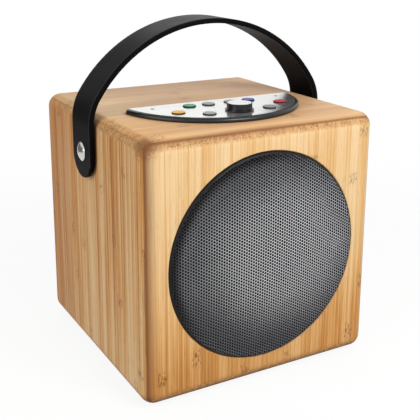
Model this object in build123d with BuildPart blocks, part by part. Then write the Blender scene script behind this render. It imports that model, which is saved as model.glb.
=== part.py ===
# Audio story player: a bamboo cube with a domed grille, a half-moon control panel and a strap handle.
# Millimetres. X runs left to right, Y from front to rear, Z up from the surface that the feet stand on.
import os
from math import atan2, cos, degrees, pi, sin, sqrt

from build123d import *

os.makedirs("parts", exist_ok=True)

# Cabinet of mitred bamboo boards
cabinet_width = 150.0
cabinet_depth = 150.0
cabinet_height = 150.0
board_thickness = 12.0
edge_radius = 8.0
foot_height = 2.5
foot_radius = 7.0
foot_inset = 22.0
foot_chamfer = 0.6

# Removable rear panel and the glue blocks that hold its screws
rear_panel_thickness = 10.0
rear_panel_gap = 0.2
rear_panel_chamfer = 0.8
corner_block_side = 14.0
corner_block_length = 18.0
corner_block_chamfer = 5.0
rear_screw_radius = 1.75
rear_screw_length = 24.0
rear_screw_head_radius = 3.5
rear_screw_head_depth = 1.75
countersink_angle = 90.0

# Clearances that several pieces share
screw_gap = 0.05
seat_gap = 0.1
running_gap = 0.05

# Domed grille in the front board
grille_side_margin = 14.2
grille_recess_depth = 7.0
grille_ledge = 8.8
grille_hole_edge_radius = 0.5
grille_gap = 0.15
grille_sheet = 0.8
grille_proud = 2.6
grille_dome_rise = 1.5
grille_shoulder_radius = 2.1
grille_border = 5.0
grille_hole_pitch = 7.2
grille_hole_across = 4.8

# Loudspeaker driver, screwed to the back of the front board
gasket_thickness = 1.0
gasket_setback = 1.0
flange_corner_radius = 18.0
flange_thickness = 2.0
flange_lip = 2.5
driver_screw_inset = 9.5
driver_screw_grille_gap = 5.0
driver_screw_radius = 1.75
driver_screw_head_radius = 3.4
driver_screw_head_height = 2.2
driver_screw_grip = 9.0
basket_wall = 1.8
basket_depth = 24.0
basket_taper = 12.5
basket_arms = 6
basket_arm_width = 9.0
window_margin = 1.5
top_plate_radius = 36.0
top_plate_thickness = 5.0
magnet_radius = 37.5
magnet_hole_radius = 18.0
magnet_thickness = 13.0
yoke_radius = 35.0
yoke_thickness = 5.0
pole_radius = 12.0
coil_gap = 0.6
former_thickness = 0.4
winding_thickness = 0.8
winding_length = 6.5
cone_rim_width = 1.6
cone_thickness = 0.8
cone_depth = 17.4
dust_cap_radius = 18.0
dust_cap_rise = 6.0
dust_cap_steps = 4
surround_width = 8.0
surround_thickness = 0.5
surround_land = 2.8
surround_steps = 6
spider_thickness = 0.5
spider_land = 4.0
spider_waves = 3
spider_wave_height = 0.8
terminal_width = 16.0
terminal_length = 10.0
terminal_thickness = 1.6
terminal_edge_gap = 1.4

# Half-moon control panel on the top board
panel_radius = 56.5
panel_front_margin = 13.1
panel_back_step = 3.6
panel_corner_radius = 4.0
panel_inner_corner = 0.6
panel_height = 3.0
seal_thickness = 0.5
seal_inset = 1.0
bezel_edge_radius = 1.6
bezel_rim_width = 2.0
plate_proud = 0.2
plate_thickness = 0.8
plate_gap = 0.1
flange_overlap = 3.6
tub_gap = 0.4
tub_wall = 1.6
tub_clear_below = 0.5
deck_thickness = 2.0
circuit_thickness = 1.6
control_board_drop = 9.0
control_board_gap = 0.5
boss_radius = 2.6
small_screw_radius = 1.1
small_screw_head_radius = 2.1
small_screw_head_height = 1.4
small_screw_grip = 5.0

# Buttons and their switches
button_radius = 3.85
button_gap = 0.2
button_proud = 0.8
button_chamfer = 0.25
button_flange_radius = 5.1
button_flange_thickness = 1.0
button_flange_gap = 0.15
button_stem_radius = 1.6
button_stem_entry = 1.0
switch_side = 6.0
switch_height = 3.8
switch_well_depth = 2.4
switch_well_gap = 0.2
# Places on the panel are measured from the middle of its straight back edge.
button_spots = {
    "green": (-20.1, -13.0),
    "grey_rear_left": (-7.4, -13.0),
    "grey_rear_right": (7.4, -13.0),
    "blue": (20.1, -13.0),
    "yellow": (-34.1, -26.3),
    "red": (34.1, -26.3),
    "grey_front_left": (-19.9, -36.6),
    "grey_front_right": (19.9, -36.6),
}
board_boss_spots = [(-31.5, -11.6), (31.5, -11.6), (-10.8, -24.4), (10.8, -24.4)]

# Volume knob on its encoder
knob_spot = (0.0, -35.8)
knob_radius = 7.3
knob_skirt_radius = 8.3
knob_skirt_height = 0.6
knob_height = 4.5
knob_lift = 0.4
knob_wall = 1.4
knob_hub_radius = 4.6
knob_hollow_depth = 2.5
knob_cap_radius = 6.8
knob_cap_thickness = 0.6
knob_edge_chamfer = 0.25
encoder_side = 12.0
encoder_height = 5.8
bush_radius = 4.2
bush_clearance = 0.3
shaft_radius = 3.0
shaft_tail = 4.0
shaft_engagement = 2.7

# Status light and microphone behind the two small holes of the plate
light_spot = (-42.3, -9.8)
microphone_spot = (42.3, -9.8)
small_hole_radius = 1.2
light_pipe_gap = 0.1
light_pipe_collar_radius = 2.0
light_pipe_collar_height = 1.0
light_chip_side = 3.0
light_chip_height = 1.2
microphone_radius = 3.0
microphone_length = 2.7

# Strap handle on two dome-headed bolts
handle_pivot_y = 0.0
handle_pivot_drop = 21.7
strap_width = 28.0
strap_thickness = 3.0
strap_edge_radius = 0.8
strap_side_gap = 0.1
strap_tail = 15.5
strap_spring_lift = 3.0
strap_shoulder_radius = 28.0
strap_rise = 54.3
pivot_washer_radius = 8.0
pivot_washer_thickness = 0.9
bolt_radius = 2.5
bolt_head_radius = 5.6
bolt_head_height = 1.8
nut_radius = 4.6
nut_thickness = 4.0
bolt_end_beyond_nut = 1.5

# Sockets in the rear panel and the circuit board behind them
port_pocket_width = 38.0
port_pocket_height = 15.0
port_pocket_corner = 3.0
port_wall = 2.5
port_height = 34.0
port_spacing = 20.0
port_gap = 0.2
socket_recess = 0.5
jack_nose_radius = 3.0
jack_bore_radius = 1.8
jack_bore_depth = 14.0
jack_body_width = 9.0
jack_body_height = 7.0
jack_body_length = 11.0
charge_width = 9.4
charge_height = 3.8
charge_wall = 0.5
charge_depth = 7.0
charge_tongue_width = 6.7
charge_tongue_thickness = 0.7
charge_tongue_length = 5.0
main_board_width = 84.0
main_board_height = 48.0
main_board_rise = 12.0
standoff_length = 8.0
standoff_radius = 3.0
standoff_inset = 4.5

# Battery on the bottom board
cell_radius = 9.2
cell_length = 65.5
cell_gap = 0.25
cell_spacing = 19.4
cradle_wall = 2.4
cradle_floor = 2.5
cradle_height = 12.0
cradle_board_gap = 10.0
cradle_ear_width = 9.0
cradle_ear_thickness = 3.0

# Wiring between the boards, the driver and the battery
wire_radius = 0.8
wire_spacing = 3.0
wire_socket_width = 8.0
wire_socket_height = 5.0
wire_socket_depth = 6.0
battery_socket_spot = (36.0, -4.5)
speaker_socket_spot = (-24.0, 5.5)
ribbon_socket_rise = 15.5
ribbon_width = 14.0
ribbon_thickness = 0.8
ribbon_socket_width = 18.0
ribbon_start_setback = 11.0
ribbon_drop = 12.0
ribbon_fall = 6.0
ribbon_board_gap = 11.4
ribbon_bend = 8.0
lead_rise = 4.5
lead_exit = 8.5
lead_bend = 5.0

# Places that follow from the sizes above
front_y = -cabinet_depth / 2
rear_y = cabinet_depth / 2
side_x = cabinet_width / 2
base_z = foot_height
top_z = base_z + cabinet_height
mid_z = base_z + cabinet_height / 2
inner_width = cabinet_width - 2 * board_thickness
inner_height = cabinet_height - 2 * board_thickness
inner_floor_z = base_z + board_thickness
inner_side_x = side_x - board_thickness
grille_hole_radius = min(cabinet_width, cabinet_height) / 2 - grille_side_margin
cone_opening_radius = grille_hole_radius - grille_ledge
gasket_inner_radius = cone_opening_radius + gasket_setback
flange_inner_radius = cone_opening_radius - flange_lip
driver_screw_spacing = sqrt(2) * (grille_hole_radius + driver_screw_grille_gap)
flange_side = driver_screw_spacing + 2 * driver_screw_inset
basket_floor_radius = flange_inner_radius - basket_taper
window_inner_radius = basket_floor_radius + window_margin
window_outer_radius = flange_inner_radius - window_margin
cone_rim_radius = flange_inner_radius - surround_width
panel_centre_y = front_y + panel_front_margin + panel_radius
panel_back_y = panel_centre_y - panel_back_step
main_board_y = rear_y - rear_panel_thickness - standoff_length
main_board_front_y = main_board_y - circuit_thickness

front_face = Plane(origin=(0, front_y, mid_z), x_dir=(1, 0, 0), z_dir=(0, -1, 0))
rear_face = Plane(origin=(0, rear_y, mid_z), x_dir=(-1, 0, 0), z_dir=(0, 1, 0))
left_face = Plane(origin=(-side_x, 0, mid_z), x_dir=(0, -1, 0), z_dir=(-1, 0, 0))
right_face = Plane(origin=(side_x, 0, mid_z), x_dir=(0, 1, 0), z_dir=(1, 0, 0))
top_face = Plane(origin=(0, 0, top_z), x_dir=(1, 0, 0), z_dir=(0, 0, 1))
bottom_face = Plane(origin=(0, 0, base_z), x_dir=(1, 0, 0), z_dir=(0, 0, -1))
# In this plane local x is the depth behind the front face and local y the distance from the speaker's axis.
speaker_section = Plane(origin=(0, front_y, mid_z), x_dir=(0, 1, 0), z_dir=(1, 0, 0))
speaker_axis = Axis((0, front_y, mid_z), (0, 1, 0))


def save(piece, name):
    # The cabinet's middle is at Y = 0 while pieces are drawn. They are saved with the middle of the whole
    # object there, so all go back by half of what the grille stands proud.
    placed = piece.part.moved(Pos(0, grille_proud / 2, 0))
    placed.label = name
    export_step(placed, f"parts/{name}.step")


def on_panel(spot):
    return spot[0], panel_back_y + spot[1]


button_places = {colour: on_panel(spot) for colour, spot in button_spots.items()}
board_boss_places = [on_panel(spot) for spot in board_boss_spots]
knob_place = on_panel(knob_spot)
light_place = on_panel(light_spot)
microphone_place = on_panel(microphone_spot)

# Cabinet
with BuildPart() as rounded_cabinet:
    with Locations((0, 0, mid_z)):
        Box(cabinet_width, cabinet_depth, cabinet_height)
    fillet(rounded_cabinet.edges(), radius=edge_radius)


def mitred_board(outside, neighbours):
    with BuildPart() as board:
        add(rounded_cabinet.part)
        split(bisect_by=outside.offset(-board_thickness), keep=Keep.TOP)
        for beside in neighbours:
            corner = outside.origin + beside.origin - Vector(0, 0, mid_z)
            split(bisect_by=Plane(origin=corner, z_dir=outside.z_dir - beside.z_dir), keep=Keep.TOP)
    return board.part


pivot_z = top_z - handle_pivot_drop
bolt_hole_radius = bolt_radius + screw_gap

front_blank = mitred_board(front_face, [left_face, right_face, top_face, bottom_face])
with BuildPart() as front_board:
    add(front_blank)
    with BuildSketch(front_face):
        Circle(grille_hole_radius)
    extrude(amount=-grille_recess_depth, mode=Mode.SUBTRACT)
    with BuildSketch(front_face):
        Circle(cone_opening_radius)
    extrude(amount=-board_thickness, mode=Mode.SUBTRACT)
    mouth = front_board.edges().filter_by(GeomType.CIRCLE).sort_by(Axis.Y)
    fillet(
        mouth.filter_by(lambda edge: abs(edge.center().Y - front_y) < seat_gap)
        .filter_by(lambda edge: abs(edge.radius - grille_hole_radius) < seat_gap),
        radius=grille_hole_edge_radius,
    )
    with BuildSketch(front_face.offset(-board_thickness)):
        with GridLocations(driver_screw_spacing, driver_screw_spacing, 2, 2):
            Circle(driver_screw_radius + screw_gap)
    extrude(amount=driver_screw_grip, mode=Mode.SUBTRACT)
save(front_board, "front_board")

left_blank = mitred_board(left_face, [front_face, top_face, bottom_face])
with BuildPart() as left_board:
    add(left_blank)
    with BuildSketch(left_face):
        with Locations((-handle_pivot_y, pivot_z - mid_z)):
            Circle(bolt_hole_radius)
    extrude(amount=-board_thickness, mode=Mode.SUBTRACT)
save(left_board, "left_board")

right_blank = mitred_board(right_face, [front_face, top_face, bottom_face])
with BuildPart() as right_board:
    add(right_blank)
    with BuildSketch(right_face):
        with Locations((handle_pivot_y, pivot_z - mid_z)):
            Circle(bolt_hole_radius)
    extrude(amount=-board_thickness, mode=Mode.SUBTRACT)
save(right_board, "right_board")


def panel_shape(inset):
    with BuildSketch() as outline:
        with Locations((0, panel_centre_y)):
            Circle(panel_radius - inset)
        with Locations((0, panel_back_y - inset)):
            Rectangle(
                2 * panel_radius, 2 * panel_radius, align=(Align.CENTER, Align.MIN), mode=Mode.SUBTRACT
            )
        fillet(outline.vertices(), radius=max(panel_corner_radius - inset, panel_inner_corner))
    return outline.sketch


top_blank = mitred_board(top_face, [front_face, left_face, right_face])
with BuildPart() as top_board:
    add(top_blank)
    with BuildSketch(top_face):
        add(panel_shape(flange_overlap - tub_gap))
    extrude(amount=-board_thickness, mode=Mode.SUBTRACT)
save(top_board, "top_board")

cradle_length = cell_length + 2 * cell_gap + 2 * cradle_wall
cradle_width = cell_spacing + 2 * (cell_radius + cell_gap + cradle_wall)
cradle_screw_spacing = cradle_length + cradle_ear_width
cradle_centre_y = main_board_front_y - cradle_board_gap - cradle_width / 2

bottom_blank = mitred_board(bottom_face, [front_face, left_face, right_face])
with BuildPart() as bottom_board:
    add(bottom_blank)
    with BuildSketch(Plane.XY.offset(inner_floor_z)):
        with Locations((0, cradle_centre_y)):
            with GridLocations(cradle_screw_spacing, 1, 2, 1):
                Circle(small_screw_radius + screw_gap)
    extrude(amount=-small_screw_grip - seat_gap, mode=Mode.SUBTRACT)
save(bottom_board, "bottom_board")

block_spacing_x = inner_width - corner_block_side
block_spacing_z = inner_height - corner_block_side
port_drop = base_z + port_height - mid_z
# Seen from behind, the audio socket is left of the middle and the charging socket right of it.
jack_x = -port_spacing / 2
charge_x = port_spacing / 2

with BuildPart() as rear_panel:
    with BuildSketch(rear_face):
        Rectangle(inner_width - 2 * rear_panel_gap, inner_height - 2 * rear_panel_gap)
    extrude(amount=-rear_panel_thickness)
    chamfer(rear_panel.faces().sort_by(Axis.Y)[-1].edges(), length=rear_panel_chamfer)
    with BuildSketch(rear_face.offset(-port_wall)):
        with Locations((0, port_drop)):
            RectangleRounded(port_pocket_width, port_pocket_height, port_pocket_corner)
    extrude(amount=port_wall - rear_panel_thickness, mode=Mode.SUBTRACT)
    with BuildSketch(rear_face):
        with Locations((jack_x, port_drop)):
            Circle(jack_nose_radius + port_gap)
        with Locations((charge_x, port_drop)):
            SlotOverall(charge_width + 2 * port_gap, charge_height + 2 * port_gap)
    extrude(amount=-port_wall, mode=Mode.SUBTRACT)
    with Locations(rear_face):
        with GridLocations(block_spacing_x, block_spacing_z, 2, 2):
            CounterSinkHole(
                radius=rear_screw_radius + screw_gap,
                counter_sink_radius=rear_screw_head_radius + screw_gap,
                depth=rear_panel_thickness,
                counter_sink_angle=countersink_angle,
            )
save(rear_panel, "rear_panel")

with BuildPart() as corner_blocks:
    with BuildSketch(rear_face.offset(-rear_panel_thickness)):
        with GridLocations(block_spacing_x, block_spacing_z, 2, 2):
            Rectangle(corner_block_side, corner_block_side)
            Circle(rear_screw_radius + screw_gap, mode=Mode.SUBTRACT)
    extrude(amount=-corner_block_length)
    inner_edges = corner_blocks.edges().filter_by(Axis.Y).filter_by(GeomType.LINE)
    reach_x = block_spacing_x / 2 - corner_block_side / 2
    reach_z = block_spacing_z / 2 - corner_block_side / 2
    chamfer(
        inner_edges.filter_by(lambda edge: abs(abs(edge.center().X) - reach_x) < seat_gap)
        .filter_by(lambda edge: abs(abs(edge.center().Z - mid_z) - reach_z) < seat_gap),
        length=corner_block_chamfer,
    )
save(corner_blocks, "corner_blocks")

with BuildPart() as rear_screws:
    with BuildSketch(rear_face):
        with GridLocations(block_spacing_x, block_spacing_z, 2, 2):
            Circle(rear_screw_head_radius)
    extrude(amount=-rear_screw_head_depth, taper=countersink_angle / 2)
    with BuildSketch(rear_face):
        with GridLocations(block_spacing_x, block_spacing_z, 2, 2):
            Circle(rear_screw_radius)
    extrude(amount=-rear_screw_length)
save(rear_screws, "rear_screws")

with BuildPart() as feet:
    with BuildSketch(Plane.XY):
        with GridLocations(cabinet_width - 2 * foot_inset, cabinet_depth - 2 * foot_inset, 2, 2):
            Circle(foot_radius)
    extrude(amount=foot_height)
    chamfer(feet.faces().group_by(Axis.Z)[0].edges(), length=foot_chamfer)
save(feet, "feet")

# Grille: a domed sheet that stands proud of the wood, with a skirt that seats on the front board's ledge
grille_radius = grille_hole_radius - grille_gap
dome_radius = (grille_radius**2 + grille_dome_rise**2) / (2 * grille_dome_rise)
dome_centre = dome_radius - grille_proud


def sphere_points(centre, sphere_radius, edge, steps):
    distances = [edge * step / steps for step in range(steps + 1)]
    return [(centre - sqrt(sphere_radius**2 - distance**2), distance) for distance in distances]


inner_sphere = dome_radius - grille_sheet
skirt_inner = grille_radius - grille_sheet
with BuildPart() as grille:
    with BuildSketch(speaker_section) as sheet_profile:
        with BuildLine():
            outer = ThreePointArc(*sphere_points(dome_centre, dome_radius, grille_radius, 2))
            inner = ThreePointArc(*sphere_points(dome_centre, inner_sphere, skirt_inner, 2))
            Polyline(
                outer @ 1, (grille_recess_depth, grille_radius), (grille_recess_depth, skirt_inner), inner @ 1
            )
            Line(outer @ 0, inner @ 0)
        make_face()
        shoulder = sheet_profile.vertices().filter_by(
            lambda vertex: grille_sheet - grille_proud < vertex.X < grille_recess_depth - seat_gap
        )
        fillet(shoulder.sort_by(Axis.Y)[-1], radius=grille_shoulder_radius)
        fillet(shoulder.sort_by(Axis.Y)[0], radius=grille_shoulder_radius - grille_sheet)
    revolve(axis=speaker_axis)
    perforated_radius = grille_radius - grille_border - grille_hole_across / 2
    column_step = grille_hole_pitch * sqrt(3) / 2
    hole_places = []
    columns = int(perforated_radius / column_step)
    rows = int(perforated_radius / grille_hole_pitch) + 1
    for column in range(-columns, columns + 1):
        for row in range(-rows, rows + 1):
            place = (column * column_step, (row + (column % 2) / 2) * grille_hole_pitch)
            if place[0] ** 2 + place[1] ** 2 <= perforated_radius**2:
                hole_places.append(place)
    with BuildSketch(front_face.offset(grille_proud)):
        with Locations(*hole_places):
            RegularPolygon(grille_hole_across / 2, 6)
    extrude(amount=-grille_proud - grille_recess_depth, mode=Mode.SUBTRACT)
save(grille, "grille")

# Loudspeaker driver. Depths are measured from the front face.
gasket_depth = board_thickness
flange_depth = gasket_depth + gasket_thickness
basket_floor_depth = flange_depth + basket_depth - basket_wall
basket_floor_hole = basket_floor_radius - basket_wall - spider_land
plate_depth = flange_depth + basket_depth
magnet_depth = plate_depth + top_plate_thickness
yoke_depth = magnet_depth + magnet_thickness
yoke_end = yoke_depth + yoke_thickness
former_inner = pole_radius + coil_gap
former_outer = former_inner + former_thickness
winding_outer = former_outer + winding_thickness
plate_hole_radius = winding_outer + coil_gap


def flange_outline(hole_radius):
    with BuildSketch() as outline:
        RectangleRounded(flange_side, flange_side, flange_corner_radius)
        Circle(hole_radius, mode=Mode.SUBTRACT)
        with GridLocations(driver_screw_spacing, driver_screw_spacing, 2, 2):
            Circle(driver_screw_radius + screw_gap, mode=Mode.SUBTRACT)
    return outline.sketch


with BuildPart() as driver_gasket:
    with BuildSketch(front_face.offset(-gasket_depth)):
        add(flange_outline(gasket_inner_radius))
    extrude(amount=-gasket_thickness)
save(driver_gasket, "driver_gasket")

with BuildPart() as driver_basket:
    with BuildSketch(front_face.offset(-flange_depth)):
        add(flange_outline(flange_inner_radius))
    extrude(amount=-flange_thickness)
    with BuildSketch(speaker_section):
        with BuildLine():
            Polyline(
                (flange_depth, flange_inner_radius),
                (flange_depth, flange_inner_radius + basket_wall),
                (flange_depth + flange_thickness, flange_inner_radius + basket_wall),
                (plate_depth, basket_floor_radius),
                (plate_depth, basket_floor_hole),
                (basket_floor_depth, basket_floor_hole),
                (basket_floor_depth, basket_floor_radius - basket_wall),
                (flange_depth + flange_thickness, flange_inner_radius),
                close=True,
            )
        make_face()
    revolve(axis=speaker_axis)
    with BuildSketch(front_face.offset(-flange_depth - flange_thickness)):
        Circle(window_outer_radius)
        Circle(window_inner_radius, mode=Mode.SUBTRACT)
        with PolarLocations(0, basket_arms):
            Rectangle(
                window_outer_radius, basket_arm_width, align=(Align.MIN, Align.CENTER), mode=Mode.SUBTRACT
            )
    extrude(amount=-basket_depth, mode=Mode.SUBTRACT)
save(driver_basket, "driver_basket")

with BuildPart() as driver_top_plate:
    with BuildSketch(front_face.offset(-plate_depth)):
        Circle(top_plate_radius)
        Circle(plate_hole_radius, mode=Mode.SUBTRACT)
    extrude(amount=-top_plate_thickness)
save(driver_top_plate, "driver_top_plate")

with BuildPart() as driver_magnet:
    with BuildSketch(front_face.offset(-magnet_depth)):
        Circle(magnet_radius)
        Circle(magnet_hole_radius, mode=Mode.SUBTRACT)
    extrude(amount=-magnet_thickness)
save(driver_magnet, "driver_magnet")

with BuildPart() as driver_yoke:
    with BuildSketch(front_face.offset(-yoke_depth)):
        Circle(yoke_radius)
    extrude(amount=-yoke_thickness)
    with BuildSketch(front_face.offset(-plate_depth)):
        Circle(pole_radius)
    extrude(amount=-(yoke_end - plate_depth))
save(driver_yoke, "driver_yoke")

# Cone: a flat rim under the surround and a straight wall down to the voice coil's former
cone_rim_inner = cone_rim_radius - cone_rim_width
cone_neck_depth = flange_depth + cone_depth
with BuildPart() as driver_cone:
    with BuildSketch(speaker_section):
        with BuildLine():
            Polyline(
                (flange_depth, cone_rim_radius),
                (flange_depth, cone_rim_inner),
                (cone_neck_depth, former_outer + running_gap),
                (cone_neck_depth + cone_thickness, former_outer + running_gap),
                (flange_depth + cone_thickness, cone_rim_inner),
                (flange_depth + cone_thickness, cone_rim_radius),
                close=True,
            )
        make_face()
    revolve(axis=speaker_axis)
save(driver_cone, "driver_cone")

cone_slope = cone_depth / (cone_rim_inner - former_outer - running_gap)
cap_foot = flange_depth + cone_slope * (cone_rim_inner - dust_cap_radius) - seat_gap
cap_sphere = (dust_cap_radius**2 + dust_cap_rise**2) / (2 * dust_cap_rise)
cap_centre = cap_foot - dust_cap_rise + cap_sphere


with BuildPart() as dust_cap:
    with BuildSketch(speaker_section):
        with BuildLine():
            cap_outer = Polyline(*sphere_points(cap_centre, cap_sphere, dust_cap_radius, dust_cap_steps))
            cap_inner = Polyline(
                *sphere_points(
                    cap_centre, cap_sphere - cone_thickness, dust_cap_radius - cone_thickness, dust_cap_steps
                )
            )
            Line(cap_outer @ 0, cap_inner @ 0)
            Line(cap_outer @ 1, cap_inner @ 1)
        make_face()
    revolve(axis=speaker_axis)
save(dust_cap, "dust_cap")

winding_start = plate_depth + (top_plate_thickness - winding_length) / 2
with BuildPart() as voice_coil:
    with BuildSketch(front_face.offset(-cone_neck_depth)):
        Circle(former_outer)
        Circle(former_inner, mode=Mode.SUBTRACT)
    extrude(amount=-(winding_start + winding_length - cone_neck_depth))
    with BuildSketch(front_face.offset(-winding_start)):
        Circle(winding_outer)
        Circle(former_inner, mode=Mode.SUBTRACT)
    extrude(amount=-winding_length)
save(voice_coil, "voice_coil")

roll_radius = surround_width / 2
roll_middle = (flange_inner_radius + cone_rim_radius) / 2
land_depth = flange_depth - surround_thickness


def roll_points(depth, radius):
    angles = [pi * step / surround_steps for step in range(surround_steps + 1)]
    return [(depth - radius * sin(angle), roll_middle - radius * cos(angle)) for angle in angles]


with BuildPart() as driver_surround:
    with BuildSketch(speaker_section):
        with BuildLine():
            front_roll = Polyline(*roll_points(land_depth, roll_radius))
            rear_roll = Polyline(*roll_points(flange_depth, roll_radius - surround_thickness))
            Polyline(
                front_roll @ 1,
                (land_depth, flange_inner_radius + surround_land),
                (flange_depth, flange_inner_radius + surround_land),
                rear_roll @ 1,
            )
            Polyline(
                front_roll @ 0,
                (land_depth, cone_rim_inner),
                (flange_depth, cone_rim_inner),
                rear_roll @ 0,
            )
        make_face()
    revolve(axis=speaker_axis)
save(driver_surround, "driver_surround")

spider_outer = basket_floor_radius - basket_wall - seat_gap
wave_start = former_outer + running_gap
wave_end = spider_outer - spider_land
wave_step = (wave_end - wave_start) / (2 * spider_waves)


def spider_points(depth):
    peaks = [
        (depth + spider_wave_height * (-1) ** (wave + 1), wave_start + (wave + 0.5) * wave_step)
        for wave in range(2 * spider_waves)
    ]
    return [(depth, wave_start), *peaks, (depth, wave_end)]


spider_depth = basket_floor_depth - spider_thickness
with BuildPart() as driver_spider:
    with BuildSketch(speaker_section):
        with BuildLine():
            Polyline(*spider_points(spider_depth))
            Polyline(*spider_points(basket_floor_depth))
            Polyline(
                (spider_depth, wave_end),
                (spider_depth, spider_outer),
                (basket_floor_depth, spider_outer),
                (basket_floor_depth, wave_end),
            )
            Line((spider_depth, wave_start), (basket_floor_depth, wave_start))
        make_face()
    revolve(axis=speaker_axis)
save(driver_spider, "driver_spider")

with BuildPart() as driver_screws:
    with BuildSketch(front_face.offset(-flange_depth - flange_thickness)):
        with GridLocations(driver_screw_spacing, driver_screw_spacing, 2, 2):
            Circle(driver_screw_head_radius)
    extrude(amount=-driver_screw_head_height)
    with BuildSketch(front_face.offset(-flange_depth - flange_thickness)):
        with GridLocations(driver_screw_spacing, driver_screw_spacing, 2, 2):
            Circle(driver_screw_radius)
    extrude(amount=flange_thickness + gasket_thickness + driver_screw_grip - seat_gap)
save(driver_screws, "driver_screws")

# Control panel, from the wood upwards and then down into the cut-out
seal_top_z = top_z + seal_thickness
plate_top_z = top_z + panel_height
plate_bottom_z = plate_top_z - plate_thickness
bezel_top_z = plate_top_z - plate_proud
deck_bottom_z = plate_bottom_z - deck_thickness
control_top_z = deck_bottom_z - control_board_drop
control_bottom_z = control_top_z - circuit_thickness
tub_bottom_z = top_z - board_thickness + tub_clear_below
button_hole_radius = button_radius + button_gap
bush_hole_radius = bush_radius + bush_clearance

with BuildPart() as panel_seal:
    with BuildSketch(top_face):
        add(panel_shape(seal_inset))
        add(panel_shape(flange_overlap - tub_gap), mode=Mode.SUBTRACT)
    extrude(amount=seal_thickness)
save(panel_seal, "panel_seal")


def panel_holes():
    with Locations(*button_places.values()):
        Circle(button_hole_radius)
    with Locations(knob_place):
        Circle(bush_hole_radius)
    with Locations(light_place, microphone_place):
        Circle(small_hole_radius)


with BuildPart() as panel_bezel:
    with BuildSketch(Plane.XY.offset(seal_top_z)):
        add(panel_shape(0))
    extrude(amount=bezel_top_z - seal_top_z)
    fillet(panel_bezel.faces().sort_by(Axis.Z)[-1].edges(), radius=bezel_edge_radius)
    with BuildSketch(Plane.XY.offset(plate_bottom_z)):
        add(panel_shape(bezel_rim_width))
    extrude(amount=plate_thickness, mode=Mode.SUBTRACT)
    with BuildSketch(Plane.XY.offset(tub_bottom_z)):
        add(panel_shape(flange_overlap))
    extrude(amount=seal_top_z - tub_bottom_z)
    with BuildSketch(Plane.XY.offset(tub_bottom_z)):
        add(panel_shape(flange_overlap + tub_wall))
    extrude(amount=deck_bottom_z - tub_bottom_z, mode=Mode.SUBTRACT)
    with BuildSketch(Plane.XY.offset(control_top_z)):
        with Locations(*board_boss_places):
            Circle(boss_radius)
            Circle(small_screw_radius + screw_gap, mode=Mode.SUBTRACT)
    extrude(amount=deck_bottom_z - control_top_z)
    with BuildSketch(Plane.XY.offset(deck_bottom_z)):
        panel_holes()
    extrude(amount=plate_top_z - deck_bottom_z, mode=Mode.SUBTRACT)
save(panel_bezel, "panel_bezel")

with BuildPart() as panel_faceplate:
    with BuildSketch(Plane.XY.offset(plate_bottom_z)):
        add(panel_shape(bezel_rim_width + plate_gap))
        with Locations(*button_places.values()):
            Circle(button_hole_radius, mode=Mode.SUBTRACT)
        with Locations(knob_place):
            Circle(bush_hole_radius, mode=Mode.SUBTRACT)
        with Locations(light_place, microphone_place):
            Circle(small_hole_radius, mode=Mode.SUBTRACT)
    extrude(amount=plate_thickness)
save(panel_faceplate, "panel_faceplate")

with BuildPart() as control_board:
    with BuildSketch(Plane.XY.offset(control_bottom_z)):
        add(panel_shape(flange_overlap + tub_wall + control_board_gap))
        with Locations(*board_boss_places):
            Circle(small_screw_radius + screw_gap, mode=Mode.SUBTRACT)
    extrude(amount=circuit_thickness)
save(control_board, "control_board")

with BuildPart() as control_board_screws:
    with BuildSketch(Plane.XY.offset(control_bottom_z)):
        with Locations(*board_boss_places):
            Circle(small_screw_head_radius)
    extrude(amount=-small_screw_head_height)
    with BuildSketch(Plane.XY.offset(control_bottom_z)):
        with Locations(*board_boss_places):
            Circle(small_screw_radius)
    extrude(amount=circuit_thickness + small_screw_grip)
save(control_board_screws, "control_board_screws")

switch_top_z = control_top_z + switch_height
with BuildPart() as button_switches:
    with BuildSketch(Plane.XY.offset(control_top_z)):
        with Locations(*button_places.values()):
            Rectangle(switch_side, switch_side)
    extrude(amount=switch_height)
    with BuildSketch(Plane.XY.offset(switch_top_z)):
        with Locations(*button_places.values()):
            Circle(button_stem_radius + switch_well_gap)
    extrude(amount=-switch_well_depth, mode=Mode.SUBTRACT)
save(button_switches, "button_switches")

button_flange_top_z = deck_bottom_z - button_flange_gap
button_flange_bottom_z = button_flange_top_z - button_flange_thickness
for colour, place in button_places.items():
    with BuildPart() as button:
        with BuildSketch(Plane.XY.offset(button_flange_bottom_z)):
            with Locations(place):
                Circle(button_radius)
        extrude(amount=plate_top_z + button_proud - button_flange_bottom_z)
        chamfer(button.faces().sort_by(Axis.Z)[-1].edges(), length=button_chamfer)
        with BuildSketch(Plane.XY.offset(button_flange_bottom_z)):
            with Locations(place):
                Circle(button_flange_radius)
        extrude(amount=button_flange_thickness)
        with BuildSketch(Plane.XY.offset(switch_top_z - button_stem_entry)):
            with Locations(place):
                Circle(button_stem_radius)
        extrude(amount=button_flange_bottom_z - switch_top_z + button_stem_entry)
    save(button, f"button_{colour}")

# Volume knob, hollow under its top, on the encoder's shaft
knob_bottom_z = plate_top_z + knob_lift
knob_top_z = plate_top_z + knob_height
shaft_top_z = knob_bottom_z + shaft_engagement
shaft_bottom_z = control_top_z + encoder_height - shaft_tail
bush_top_z = plate_top_z - plate_proud

with BuildPart() as encoder_body:
    with BuildSketch(Plane.XY.offset(control_top_z)):
        with Locations(knob_place):
            Rectangle(encoder_side, encoder_side)
    extrude(amount=encoder_height)
    with BuildSketch(Plane.XY.offset(control_top_z)):
        with Locations(knob_place):
            Circle(bush_radius)
    extrude(amount=bush_top_z - control_top_z)
    with BuildSketch(Plane.XY.offset(shaft_bottom_z - seat_gap)):
        with Locations(knob_place):
            Circle(shaft_radius + running_gap)
    extrude(amount=bush_top_z - shaft_bottom_z + seat_gap, mode=Mode.SUBTRACT)
save(encoder_body, "encoder_body")

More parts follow.
